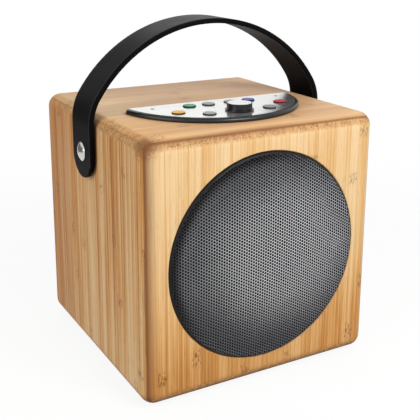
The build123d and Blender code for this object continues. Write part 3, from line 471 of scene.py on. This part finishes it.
bambooEnds = {
    "pale": tint(202, 152, 100),
    "dark": tint(106, 66, 34),
    "turn": (0.06, 0.42),       # how far a surface has to face along the grain
    "turnRagged": 0.2,
    "strength": 0.85,
    "rear": (-40.0, 60.0),      # weaker towards the rear
    "rearLoss": 0.5,
    "poreWaves": (1.35, 1.35, 1.0),     # per mm across, through and along
    "pore": (0.2, 0.58),        # distances in the pattern of pores
    "poreRagged": 0.6,
    "straw": (0.42, 0.66),      # levels of the streaks
    "strawAmount": 0.5,
}


def endGrain(tree, style, layers, places, axes):
    # Where a rounding turns across the grain, the cut ends of the fibres show as dark specks
    values = bambooEnds
    across, along, through = places
    fine = layers["fine"].centred()
    turned = abs(facings(tree)[style["along"]]) + fine * values["turnRagged"]
    strength = values["strength"] - axes[1].rise(*values["rear"]) * values["rearLoss"]
    waves = values["poreWaves"]
    poreSpot = joined(tree, across * waves[0], through * waves[1] + style["seed"], along * waves[2])
    pore = tree.node("TexVoronoi", {"feature": "F1"}, {"Vector": poreSpot, "Scale": 1.0}, "Distance")
    pores = 1 - (pore + fine * values["poreRagged"]).rise(*values["pore"])
    straw = layers["streak"].rise(*values["straw"]) * values["strawAmount"]
    colour = straw.mix(pores.mix(values["pale"], values["dark"]), bambooWood["straw"])
    return turned.rise(*values["turn"]) * strength, pores, colour


bambooMitres = {
    "umber": tint(140, 88, 50),
    "worn": tint(120, 74, 44),
    "joint": (0.2, 1.8),        # the dark line along the mitre
    "jointRagged": 1.6,
    "jointAmount": 0.22,
    "jointMore": 0.42,          # more of it on upright edges and on those along the front
    "sameEdge": 0.02,           # mm
    "ragged": {"fibre": 4.5, "fine": 4.0, "drift": 3.0},
    "uprightFrom": 0.2,         # the browned band starts here, and ends where the board says
    "uprightAmount": 0.8,
    "front": (0.3, 4.5),
    "frontAmount": 0.6,
    "right": (-8.0, 60.0),      # weaker towards the right
    "rightLoss": 0.7,
    "tip": (3.0, 13.0),         # from the upper left corner in front, which is worn
    "tipFine": 9.0,
    "tipPores": 4.0,
    "tipAmount": 0.85,
}


def brownMitres(tree, style, layers, axes, spot, pores, colour):
    # How far a point lies from each pair of outer faces: a mitre runs where two distances are equal
    values = bambooMitres
    fine = layers["fine"].centred()
    depths = []
    for axis, low, high in zip(axes, cabinetLow, cabinetHigh):
        depths.append((high - low) / 2 - abs(axis - (low + high) / 2))
    least = depths[0].least(depths[1]).least(depths[2])
    most = depths[0].most(depths[1]).most(depths[2])
    fromMitre = depths[0] + depths[1] + depths[2] - least - most - least
    slack = values["sameEdge"]
    onUpright = (depths[2] - most + slack).rise(0.0, slack)
    onFront = (depths[0] - most + slack).rise(0.0, slack)
    joint = 1 - (fromMitre + fine * values["jointRagged"]).rise(*values["joint"])
    jointAmount = values["jointAmount"] + (onUpright + onFront) * values["jointMore"]
    colour = (joint * jointAmount).mix(colour, bambooWood["dark"])

    # Browned bands beside the joints, strongest on the left
    reached = fromMitre
    for name, amount in values["ragged"].items():
        reached = reached + layers[name].centred() * amount
    upright = (1 - reached.rise(values["uprightFrom"], style["band"])) * onUpright * values["uprightAmount"]
    front = (1 - reached.rise(*values["front"])) * onFront * values["frontAmount"]
    onLeft = 1 - axes[0].rise(*values["right"]) * values["rightLoss"]
    colour = ((upright + front) * onLeft).mix(colour, values["umber"])

    tip = (cabinetLow[0], cabinetLow[1], cabinetHigh[2])
    broken = fine * values["tipFine"] + pores.centred() * values["tipPores"]
    worn = (1 - (gapTo(tree, spot, tip) + broken).rise(*values["tip"])) * values["tipAmount"]
    return worn.mix(colour, values["worn"])


def recessShadeShare(tree, axes):
    # Painted shade: the seat and walls of the recess behind the grille are painted near black
    edges = [grilleRadius / mm + past for past in bambooWood["seatPast"]]
    within = 1 - reach(tree, *besideGrille(axes)).rise(*edges)
    return within * (axes[1] - cabinetLow[1]).rise(*bambooWood["seatBehind"])


def makeBamboo(board):
    style = bambooBoards[board]
    wood = bambooWood
    seed = style["seed"]
    material, tree = newMaterial("bamboo_" + board)
    axes = axesInMm(tree)
    spot = joined(tree, *axes)
    across = axes[style["across"]]
    along = axes[style["along"]]
    places = (across, along, axes[3 - style["across"] - style["along"]])
    layers = {name: woodNoise(tree, places, seed, name) for name in bambooNoises}
    fibre = layers["fibre"]
    dash = layers["dash"].rise(*wood["dash"])
    stripTone, stripShift, glueLine = layStrips(tree, across, layers["sway"], seed)

    tone = woodTone(tree, style, layers, stripTone, axes, spot)
    stops = [(place, wood[name]) for place, name in wood["ramp"]]
    colour = tree.node("ValToRGB", {"stops": stops}, {0: tone})
    colour = (dash * wood["dashAmount"] * style["contrast"]).mix(colour, wood["dark"])
    if style["rose"]:
        colour = roseShare(style, layers["drift"], axes).mix(colour, bambooBlush["rosy"])
    if board == "left_board":
        colour = rustShare(stripShift, axes).mix(colour, bambooBlush["russet"])
    colour = (glueLine * bambooStrips["glueAmount"]).mix(colour, wood["dark"])
    knuckle = knuckleShare(style, layers, across, along, stripShift)
    colour = knuckle.mix(colour, bambooKnuckles["colour"])
    ends, pores, endColour = endGrain(tree, style, layers, places, axes)
    colour = ends.mix(colour, endColour)
    if style["band"]:
        colour = brownMitres(tree, style, layers, axes, spot, pores, colour)
    if board == "front_board":
        # Painted shade in the recess behind the grille
        colour = recessShadeShare(tree, axes).mix(colour, wood["recessShade"])

    depth = wood["relief"]
    relief = fibre * depth["fibre"] + layers["fine"] * depth["fine"] - glueLine * depth["glue"]
    relief = relief - dash * depth["dash"] - ends * pores * depth["pores"]
    roughness = wood["roughness"] + fibre * wood["fibreRough"] + ends * wood["endRough"]
    closeMaterial(tree, {"Base Color": colour, "Roughness": roughness, "Specular IOR Level": wood["specular"],
                         "Normal": bump(tree, relief, *wood["bump"])})
    return material


# Plain finishes: colour, roughness, metal, specular level, grain size and depth in mm, and how patchy each is

finishes = {
    "black_plastic": ((24, 24, 26), 0.34, 0.0, 0.4, 0.35, 0.012, 0.10),
    "knob_black": ((16, 16, 17), 0.22, 0.0, 0.36, 0.3, 0.004, 0.08),
    "bright_steel": ((206, 205, 205), 0.16, 1.0, 0.5, 0.4, 0.003, 0.04),
    "screw_steel": ((150, 150, 152), 0.3, 1.0, 0.5, 0.4, 0.01, 0.08),
    "soft_rubber": ((22, 22, 23), 0.72, 0.0, 0.25, 0.5, 0.03, 0.15),
    "basket_paint": ((20, 20, 21), 0.5, 0.0, 0.2, 0.6, 0.03, 0.12),
    "ferrite": ((46, 46, 48), 0.6, 0.0, 0.3, 0.9, 0.03, 0.2),
    "cone_paper": ((18, 18, 18), 0.8, 0.0, 0.1, 0.8, 0.05, 0.2),
    "coil_copper": ((184, 110, 62), 0.32, 1.0, 0.5, 0.3, 0.01, 0.1),
    "spider_cloth": ((190, 150, 84), 0.8, 0.0, 0.2, 0.5, 0.05, 0.15),
    "circuit_green": ((24, 88, 52), 0.4, 0.0, 0.5, 1.2, 0.02, 0.15),
    "clear_plastic": ((10, 10, 11), 0.6, 0.0, 0.0, 0.5, 0.004, 0.05),
    "microphone_mesh": ((7, 7, 8), 0.8, 0.0, 0.0, 0.3, 0.02, 0.2),
    "white_plastic": ((232, 231, 226), 0.4, 0.0, 0.5, 0.4, 0.01, 0.04),
    "cell_sleeve": ((40, 74, 138), 0.34, 0.0, 0.5, 0.8, 0.01, 0.08),
    "rim_coat": ((20, 20, 22), 0.5, 0.0, 0.2, 0.4, 0.01, 0.12),
}

finishPattern = {
    "grain": (2.0, 0.6),        # noise: detail and roughness
    "cloud": (3.0, 0.6, 0.06),  # the same, and waves per mm
    "cloudShare": 0.7,          # of the patches, the rest is grain
    "grainShare": 0.3,
    "patches": (0.35, 0.68),    # levels of their noise
    "grainRough": 0.1,
    "cloudRough": 0.12,
    "bump": 0.35,
}


def makeFinish(name):
    shade, rough, metal, specular, grainSize, depth, patch = finishes[name]
    pattern = finishPattern
    material, tree = newMaterial(name)
    place = joined(tree, *axesInMm(tree))
    grain = noise(tree, place, *pattern["grain"], 1 / grainSize)
    cloud = noise(tree, place, *pattern["cloud"])
    patches = (cloud * pattern["cloudShare"] + grain * pattern["grainShare"]).rise(*pattern["patches"])
    colour = patches.mix(shaded(shade, 1 - patch), tint(*shade))
    roughness = rough + grain.centred() * pattern["grainRough"] + cloud.centred() * pattern["cloudRough"]
    closeMaterial(tree, {"Base Color": colour, "Metallic": metal, "Specular IOR Level": specular,
                         "Roughness": roughness, "Normal": bump(tree, grain, pattern["bump"], depth)})
    return material


# Faceplate: smooth silver with a faint brushed line from end to end, and painted shade on its hole walls and
# cut edges

plate = {
    "colour": (208, 208, 205),
    "shade": 0.97,              # the darker of its two tones
    # painted shade on the surfaces that don't face up: hole walls and cut edges
    "cutEdgeShade": (38, 38, 39),
    "top": (0.3, 0.8),          # how far a surface has to face up to be the top
    "metal": 0.82,
    "roughness": 0.19,
    "brushRough": 0.08,
    "edgeRough": 0.4,
    "brushWaves": (0.02, 3.0, 1.0),     # per mm
    "brush": (3.0, 0.6),        # noise: detail and roughness
    "cloud": (2.0, 0.5, 0.05),  # the same, and waves per mm
    "patches": (0.35, 0.65),    # levels of their noise
    "bump": (0.3, 0.002),       # strength, and depth in mm
}


def makeFaceplate():
    material, tree = newMaterial("silver_plate")
    axes = axesInMm(tree)
    brushPlace = joined(tree, *[axis * wave for axis, wave in zip(axes, plate["brushWaves"])])
    brushed = noise(tree, brushPlace, *plate["brush"])
    cloud = noise(tree, joined(tree, *axes), *plate["cloud"])
    patches = ((brushed + cloud) / 2).rise(*plate["patches"])
    colour = patches.mix(shaded(plate["colour"], plate["shade"]), tint(*plate["colour"]))
    # Painted shade wherever the plate doesn't face up: its hole walls, round the buttons, and its cut edges
    top = facings(tree)[2].rise(*plate["top"])
    colour = top.mix(tint(*plate["cutEdgeShade"]), colour)
    roughness = plate["roughness"] + brushed.centred() * plate["brushRough"] + (1 - top) * plate["edgeRough"]
    closeMaterial(tree, {"Base Color": colour, "Metallic": top * plate["metal"], "Roughness": roughness,
                         "Normal": bump(tree, brushed, *plate["bump"])})
    return material


# Push buttons: moulded caps in their own colour on top, with painted shade on the side where it drops into
# its hole

buttonCaps = {
    "button_yellow": (238, 172, 34),
    "button_green": (36, 134, 102),
    "button_blue": (34, 62, 150),
    "button_red": (204, 62, 82),
    "button_grey": (150, 151, 152),
}

capFinish = {
    "shade": 0.93,              # the darker of the two tones on top
    # how dark the painted shade on the side is, as a share of the cap colour
    "side": 0.22,
    "top": (0.25, 0.85),        # how far a surface has to face up to be the top
    "roughness": 0.38,
    "grainRough": 0.14,
    "specular": 0.12,
    "grain": (2.0, 0.6, 2.8),   # noise: detail, roughness and waves per mm
    "cloud": (2.0, 0.5, 0.16),
    "patches": (0.3, 0.7),      # levels of their noise
    "bump": (0.3, 0.008),       # strength, and depth in mm
}


def makeButtonCap(name):
    shade = buttonCaps[name]
    material, tree = newMaterial(name)
    place = joined(tree, *axesInMm(tree))
    grain = noise(tree, place, *capFinish["grain"])
    cloud = noise(tree, place, *capFinish["cloud"])
    colour = cloud.rise(*capFinish["patches"]).mix(shaded(shade, capFinish["shade"]), tint(*shade))
    # Painted shade: the side is a darker copy of the cap colour
    top = facings(tree)[2].rise(*capFinish["top"])
    colour = top.mix(shaded(shade, capFinish["side"]), colour)
    roughness = capFinish["roughness"] + grain.centred() * capFinish["grainRough"]
    closeMaterial(tree, {"Base Color": colour, "Roughness": roughness,
                         "Specular IOR Level": capFinish["specular"],
                         "Normal": bump(tree, grain, *capFinish["bump"])})
    return material


# Strap: moulded black rubber with a fine pebble and a raised bead along both edges that carries a painted
# highlight, and a little painted shade on the edge faces

strap = {
    "colour": (13, 13, 14),
    "shade": 0.8,               # the darker of its two tones
    # painted shade on the edge faces
    "edgeShade": (12, 12, 13),
    "edgeTurn": (0.55, 0.9),    # how far a surface has to face front or rear to be an edge
    "edgeAmount": 0.8,
    # painted highlight along the bead
    "beadHighlight": (58, 58, 61),
    "beadInset": 1.2,           # mm
    "bead": (0.3, 0.6),         # mm from its middle
    "beadAmount": 0.8,
    "roughness": 0.46,
    "pebbleRough": 0.16,
    "cloudRough": 0.14,
    "beadRough": 0.2,
    "specular": 0.03,
    "pebbleSize": 0.42,         # mm
    "pebble": (2.0, 0.6),       # noise: detail and roughness
    "cloud": (3.0, 0.6, 0.05),  # the same, and waves per mm
    "cloudShare": 0.7,          # of the patches, the rest is pebble
    "pebbleShare": 0.3,
    "patches": (0.34, 0.68),    # levels of their noise
    "pebbleRelief": 0.12,
    "beadRelief": 0.4,
    "bump": (0.5, 0.2),         # strength, and depth in mm
}


def makeStrapRubber():
    material, tree = newMaterial("strap_black")
    axes = axesInMm(tree)
    low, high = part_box("handle_strap")
    half = (high[1] - low[1]) / 2 / mm
    fromMiddle = abs(axes[1] - (low[1] + high[1]) / 2 / mm)
    place = joined(tree, *axes)
    pebble = noise(tree, place, *strap["pebble"], 1 / strap["pebbleSize"])
    cloud = noise(tree, place, *strap["cloud"])
    patches = (cloud * strap["cloudShare"] + pebble * strap["pebbleShare"]).rise(*strap["patches"])
    colour = patches.mix(shaded(strap["colour"], strap["shade"]), tint(*strap["colour"]))
    # Painted shade on the edge faces, which face front or rear
    edge = abs(facings(tree)[1]).rise(*strap["edgeTurn"])
    colour = (edge * strap["edgeAmount"]).mix(colour, tint(*strap["edgeShade"]))
    # Painted highlight along the raised bead
    bead = 1 - abs(fromMiddle - (half - strap["beadInset"])).rise(*strap["bead"])
    colour = (bead * (1 - edge) * strap["beadAmount"]).mix(colour, tint(*strap["beadHighlight"]))
    roughness = strap["roughness"] + pebble.centred() * strap["pebbleRough"]
    roughness = roughness + cloud.centred() * strap["cloudRough"] + bead * strap["beadRough"]
    relief = pebble * strap["pebbleRelief"] + bead * strap["beadRelief"]
    closeMaterial(tree, {"Base Color": colour, "Roughness": roughness,
                         "Specular IOR Level": strap["specular"],
                         "Normal": bump(tree, relief, *strap["bump"])})
    return material


# Grille steel: a satin grey coat with a painted highlight on the crown of the dome, painted shade towards its
# edges, a painted shadow beside the rim and painted shade inside the holes.
# From crownRight to borderSide, lengths are in radii of the grille

grilleCoat = {
    # The first four colours are painted light: a highlight on the crown, shade towards the skirt, a shadow
    # beside the rim up and to the left, and shade in the holes
    "crownHighlight": (236, 238, 241),
    "skirt": (124, 125, 130),
    "borderShadow": (34, 34, 37),     # beside the rim, up and to the left
    "holeShade": (10, 10, 11),
    "crownRight": 0.18,         # how far right of the middle the crown is
    # The fade, low and high amounts paint shade away from the highlight, below and above the middle
    "shadeFade": (0.25, 1.15),       # from the crown
    "fadeAmount": 0.75,
    "low": (0.0, 1.0),          # below the middle
    "lowAmount": 0.35,
    "high": (0.3, 1.0),         # above it
    "highAmount": 0.2,
    "borderFrom": (0.86, 0.97),
    "borderSide": (0.0, 0.8),
    "borderSlope": 0.7,         # how much up counts beside left
    "borderAmount": 0.9,
    "face": (0.5, 0.85),        # how far a surface has to face front to be outside a hole
    "metal": 0.55,
    "roughness": 0.36,
    "grainRough": 0.12,
    "specular": 0.3,
    "grain": (2.0, 0.6, 2.0),   # noise: detail, roughness and waves per mm
    "cloud": (3.0, 0.6, 0.04),
    "cloudAmount": 0.3,
    "bump": (0.3, 0.01),        # strength, and depth in mm
}


def grilleLengths(name):
    return [part * grilleRadius / mm for part in grilleCoat[name]]


def makeGrilleSteel():
    coat = grilleCoat
    material, tree = newMaterial("grille_steel")
    axes = axesInMm(tree)
    place = joined(tree, *axes)
    grain = noise(tree, place, *coat["grain"])
    cloud = noise(tree, place, *coat["cloud"])
    right, up = besideGrille(axes)
    # Painted highlight right of the middle, fading to painted shade towards the edge, below and above; the
    # cloud is the coat's own mottle
    fromCrown = reach(tree, right - coat["crownRight"] * grilleRadius / mm, up)
    shadeFade = fromCrown.rise(*grilleLengths("shadeFade")) * coat["fadeAmount"]
    shadeFade = shadeFade + (0 - up).rise(*grilleLengths("low")) * coat["lowAmount"]
    shadeFade = shadeFade + up.rise(*grilleLengths("high")) * coat["highAmount"] + cloud.centred() * coat["cloudAmount"]
    colour = shadeFade.rise(0.0, 1.0).mix(tint(*coat["crownHighlight"]), tint(*coat["skirt"]))
    # Painted shadow beside the rim, up and to the left
    upLeft = up * coat["borderSlope"] - right
    borderShadow = reach(tree, right, up).rise(*grilleLengths("borderFrom"))
    borderShadow = borderShadow * upLeft.rise(*grilleLengths("borderSide"))
    colour = (borderShadow * coat["borderAmount"]).mix(colour, tint(*coat["borderShadow"]))
    # Painted shade on the hole walls, which face sideways
    face = abs(facings(tree)[1]).rise(*coat["face"])
    colour = face.mix(tint(*coat["holeShade"]), colour)
    closeMaterial(tree, {"Base Color": colour, "Metallic": face * coat["metal"],
                         "Roughness": coat["roughness"] + grain.centred() * coat["grainRough"],
                         "Specular IOR Level": coat["specular"], "Normal": bump(tree, grain, *coat["bump"])})
    return material


materials = {name: makeFinish(name) for name in finishes}
materials.update({name: makeButtonCap(name) for name in buttonCaps})
materials["silver_plate"] = makeFaceplate()
materials["strap_black"] = makeStrapRubber()
materials["grille_steel"] = makeGrilleSteel()
for node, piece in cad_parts.items():
    bamboo = makeBamboo(node) if node in bambooBoards else None
    for slot in piece.material_slots:
        name = "microphone_mesh" if node == "microphone" else slot.material.name.split(".")[0]
        slot.material = bamboo or materials[name]
print("finishes made:", len(bpy.data.materials))


# The grille: a domed steel sheet with a close pattern of punched holes, and a ring over its cut edge

grille = {
    "pitch": 1.8 * mm,
    "web": 0.14 * mm,           # half the steel left between two holes
    "weld": 0.036 * mm,         # points of neighbouring cells closer than this become one
    "sheet": 0.8 * mm,
    "rise": 1.5 * mm,           # how far the middle stands proud of the shoulder
    "shoulder": 2.1 * mm,       # rounding between the dome and the side
    "rimWidth": 1.25 * mm,
    "rimLap": 0.5625 * mm,      # how far the sheet reaches under the ring
    "rimProud": 0.06 * mm,
    "rimWall": 0.5 * mm,
    "rimSmooth": 40,            # degrees
    "steps": 160,
    "bendSteps": 8,
}
grilleSphere = (grilleRadius ** 2 + grille["rise"] ** 2) / (2 * grille["rise"])


def domeDepth(radius):
    return grilleLow[1] + grilleSphere - math.sqrt(grilleSphere ** 2 - radius ** 2)


def grilleDepth(radius):
    # The dome, then an arc round the shoulder
    bend = grille["shoulder"]
    past = radius - (grilleRadius - bend)
    if past <= 0:
        return domeDepth(radius)
    return domeDepth(grilleRadius - bend) + bend - math.sqrt(max(bend ** 2 - past ** 2, 0.0))


def fromGrilleMiddle(spot):
    return math.hypot(spot.x - grilleMiddle[0], spot.z - grilleMiddle[1])


def makeGrilleSheet():
    pitch = grille["pitch"]
    columnStep = pitch * math.sqrt(3) / 2
    columns = int(grilleRadius / columnStep) + 1
    rows = 2 * int(grilleRadius / pitch) + 3
    startX = grilleMiddle[0] - columns * columnStep
    startZ = grilleMiddle[1] - (rows - 1) / 2 * pitch

    # One cell with its hole, then a second cell half a pitch up, then rows and columns of the pair
    deselectAll()
    bpy.ops.mesh.primitive_circle_add(vertices=6, radius=pitch / math.sqrt(3), fill_type="NGON",
                                      location=(startX, grilleLow[1], startZ),
                                      rotation=(math.pi / 2, math.pi / 6, 0))
    piece = startObject("grille_mesh")
    applyPlace(piece)
    editMesh(piece)
    bpy.ops.mesh.inset(thickness=grille["web"])
    bpy.ops.mesh.delete(type="FACE")
    bpy.ops.mesh.select_all(action="SELECT")
    bpy.ops.mesh.duplicate_move(TRANSFORM_OT_translate={"value": (columnStep, 0, pitch / 2)})
    leaveEdit()
    for count, offset in ((rows, (0, 0, pitch)), (columns + 1, (2 * columnStep, 0, 0))):
        applyModifier(piece, "ARRAY", {"count": count, "use_relative_offset": False,
                                       "use_constant_offset": True, "constant_offset_displace": offset})
    editMesh(piece)
    bpy.ops.mesh.remove_doubles(threshold=grille["weld"])
    edge = grilleRadius - grille["rimWidth"] + grille["rimLap"]
    pickFaces(piece, lambda spot: fromGrilleMiddle(spot) > edge)
    bpy.ops.mesh.delete(type="FACE")
    leaveEdit()
    for vertex in piece.data.vertices:
        vertex.co.y = grilleDepth(min(fromGrilleMiddle(vertex.co), grilleRadius))
    if piece.data.polygons[0].normal.y > 0:
        piece.data.flip_normals()
    applyModifier(piece, "SOLIDIFY", {"thickness": grille["sheet"], "offset": -1.0})
    return piece


def makeGrilleRim():
    # A ring is drawn out and scaled step by step: round the shoulder, then straight back to the ledge
    bend = grille["shoulder"]
    startAngle = math.asin(1 - grille["rimWidth"] / bend)
    profile = []
    for step in range(grille["bendSteps"] + 1):
        angle = startAngle + (math.pi / 2 - startAngle) * step / grille["bendSteps"]
        radius = grilleRadius - bend + bend * math.sin(angle)
        profile.append((radius, grilleDepth(radius) - grille["rimProud"]))
    profile.append((grilleRadius, grilleHigh[1]))
    deselectAll()
    bpy.ops.mesh.primitive_circle_add(vertices=grille["steps"], radius=profile[0][0], fill_type="NOTHING",
                                      location=(grilleMiddle[0], profile[0][1], grilleMiddle[1]),
                                      rotation=(math.pi / 2, 0, 0))
    piece = startObject("grille_rim")
    applyPlace(piece)
    editMesh(piece)
    for before, after in zip(profile, profile[1:]):
        bpy.ops.mesh.extrude_region_move(TRANSFORM_OT_translate={"value": (0, after[1] - before[1], 0)})
        grow = after[0] / before[0]
        bpy.ops.transform.resize(value=(grow, 1, grow),
                                 center_override=(grilleMiddle[0], after[1], grilleMiddle[1]))
    bpy.ops.mesh.select_all(action="SELECT")
    bpy.ops.mesh.normals_make_consistent(inside=False)
    leaveEdit()
    applyModifier(piece, "SOLIDIFY", {"thickness": grille["rimWall"], "offset": -1.0})
    bpy.ops.object.shade_smooth_by_angle(angle=math.radians(grille["rimSmooth"]))
    return piece


grilleSheet = makeGrilleSheet()
grilleRim = makeGrilleRim()
settle(grilleSheet, "cabinet", "grille_steel", materials["grille_steel"], "grille")
settle(grilleRim, "cabinet", "grille_steel", materials["rim_coat"])
print("grille made:", len(grilleSheet.data.polygons), "and", len(grilleRim.data.polygons), "faces")


# The cone's surround and spider flex: the inner edge goes with the cone, the outer edge stays on the basket

flexRings = {
    "driver_surround": {"slot": "soft_rubber", "land": 2.8 * mm, "width": 8.0 * mm},
    "driver_spider": {"slot": "spider_cloth", "land": 4.0 * mm, "width": None},     # down to the voice coil
}
flexWeld = 0.001 * mm


def makeFlexRing(node):
    style = flexRings[node]
    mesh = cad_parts[node].data.copy()
    piece = bpy.data.objects.new(node + "_flex", mesh)
    bpy.context.collection.objects.link(piece)
    editMesh(piece)
    bpy.ops.mesh.remove_doubles(threshold=flexWeld)
    leaveEdit()
    radii = [fromGrilleMiddle(vertex.co) for vertex in mesh.vertices]
    held = max(radii) - style["land"]
    width = style["width"] or held - min(radii)
    start = (grilleMiddle[0] + held, mesh.vertices[0].co.y, grilleMiddle[1])
    end = (start[0] - width, start[1], start[2])
    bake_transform(piece, "cabinet", "cone", start=start, end=end)
    shares = [min(max((held - radius) / width, 0.0), 1.0) for radius in radii]
    shares = [share * share * (3 - 2 * share) for share in shares]
    mesh.attributes["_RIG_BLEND"].data.foreach_set("value", shares)     # the same bend, all round the ring
    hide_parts(node)


for node in flexRings:
    makeFlexRing(node)
print("flexing rings made:", len(flexRings))


# Floor, light and camera

floor = {
    "size": 3.0,
    "colour": (150, 150, 150),  # what the object's light sees of it
    "glow": 0.9,                # how much of the white that the camera sees is its own
    "fadeFrom": 0.22,           # metres from the middle, where it starts to melt into the backdrop
    "fadeTo": 0.55,
}


def seenDirectly(tree):
    rays = ("Is Camera Ray", "Is Glossy Ray", "Is Transmission Ray")
    path = [tree.node("LightPath", out=name) for name in rays]
    return path[0].most(path[1]).most(path[2])


def makeFloor():
    deselectAll()
    bpy.ops.mesh.primitive_plane_add(size=floor["size"], location=(0, 0, cadBox[0][2]))
    piece = startObject("floor")
    material, tree = newMaterial("floor_white")
    seen = seenDirectly(tree)
    paint = tree.node("BsdfDiffuse", None, {"Color": seen.mix(tint(*floor["colour"]), white)})
    glow = tree.node("Emission", None, {"Color": white, "Strength": 1.0})
    both = tree.node("MixShader", None, {0: seen * floor["glow"], 1: paint, 2: glow})
    spot = parted(tree, tree.node("TexCoord", out="Object"))
    far = reach(tree, spot[0], spot[1]).rise(floor["fadeFrom"], floor["fadeTo"])
    gone = tree.node("BsdfTransparent")
    below = tree.node("NewGeometry", out="Backfacing")
    ended = tree.node("MixShader", None, {0: (far * seen).most(below), 1: both, 2: gone})
    tree.node("OutputMaterial", None, {"Surface": ended})
    piece.data.materials.append(material)


studio = {
    "ambient": 0.36,            # soft light from all round
    "ceilingFrom": (0.4, 0.8),  # how high up the room gets dim in what shiny surfaces mirror
    "ceilingDim": 0.4,
    "cardPlace": (-0.348, 0.302, 0.125),
    "cardTurn": 41.6,           # degrees, to face the left bolt head
    "cardSize": (0.60, 0.19),
    "cardGrey": (132, 122, 118),
}


def makeWorld():
    world = bpy.data.worlds.new("studio")
    world.use_nodes = True
    world.node_tree.nodes.clear()
    tree = Socket(world.node_tree)
    up = parted(tree, tree.node("TexCoord", out="Generated"))[2]
    mirrored = tree.node("LightPath", out="Is Glossy Ray")
    ceiling = mirrored * up.rise(*studio["ceilingFrom"]) * studio["ceilingDim"]
    strength = studio["ambient"] + seenDirectly(tree) * (1 - studio["ambient"]) * (1 - ceiling)
    light = tree.node("Background", None, {"Color": white, "Strength": strength})
    tree.node("OutputWorld", None, {"Surface": light})
    bpy.context.scene.world = world


def makeCard():
    # A dark card out of view, which only shiny pieces mirror
    deselectAll()
    turn = (math.pi / 2, 0, math.radians(studio["cardTurn"]))
    bpy.ops.mesh.primitive_plane_add(size=1.0, location=studio["cardPlace"], rotation=turn)
    piece = startObject("dark_card")
    piece.scale = (*studio["cardSize"], 1.0)
    material, tree = newMaterial("dark_card")
    glow = tree.node("Emission", None, {"Color": tint(*studio["cardGrey"]), "Strength": 1.0})
    tree.node("OutputMaterial", None, {"Surface": glow})
    piece.data.materials.append(material)
    piece.visible_camera = False
    piece.visible_diffuse = False
    piece.visible_shadow = False


lamps = {
    "key": {"place": (0.16, -0.68, 0.62), "aim": (0.0, -0.05, 0.09), "size": 0.36, "power": 5.4},
    "fill": {"place": (-1.05, -0.15, 0.5), "aim": (0.0, 0.0, 0.08), "size": 0.8, "power": 4.7},
    "rear": {"place": (0.5, 1.1, 0.9), "aim": (0.0, 0.0, 0.08), "size": 0.8, "power": 3.0},
}


def makeLamps():
    for name, lamp in lamps.items():
        data = bpy.data.lights.new(name, "AREA")
        data.size = lamp["size"]
        data.energy = lamp["power"]
        lampObject = bpy.data.objects.new(name, data)
        bpy.context.collection.objects.link(lampObject)
        lampObject.location = lamp["place"]
        gaze = Vector(lamp["aim"]) - Vector(lamp["place"])
        lampObject.rotation_euler = gaze.to_track_quat("-Z", "Y").to_euler()


camera = {
    "place": (-0.2348, -0.4242, 0.2495),
    "turn": -29.53,             # degrees, from looking along +Y
    "tilt": 14.09,              # degrees below level
    "roll": 0.29,
    "focalPixels": 802.0,
    "centrePixels": (210.0, 141.0),
    "imagePixels": 420,
    "sensor": 36.0,
    "nearest": 0.01,
}


def makeCamera():
    data = bpy.data.cameras.new("camera")
    data.sensor_width = camera["sensor"]
    data.lens = camera["focalPixels"] * camera["sensor"] / camera["imagePixels"]
    half = camera["imagePixels"] / 2
    data.shift_x = (half - camera["centrePixels"][0]) / camera["imagePixels"]
    data.shift_y = (camera["centrePixels"][1] - half) / camera["imagePixels"]
    data.clip_start = camera["nearest"]
    cameraObject = bpy.data.objects.new("camera", data)
    bpy.context.collection.objects.link(cameraObject)
    turn = Matrix.Rotation(math.radians(camera["turn"]), 3, "Z")
    tilt = Matrix.Rotation(math.radians(90 - camera["tilt"]), 3, "X")
    roll = Matrix.Rotation(math.radians(camera["roll"]), 3, "Z")
    cameraObject.rotation_euler = (turn @ tilt @ roll).to_euler()
    cameraObject.location = camera["place"]
    bpy.context.scene.camera = cameraObject


makeFloor()
makeWorld()
makeCard()
makeLamps()
makeCamera()
bpy.context.scene.view_settings.view_transform = "Standard"
print("stage set")
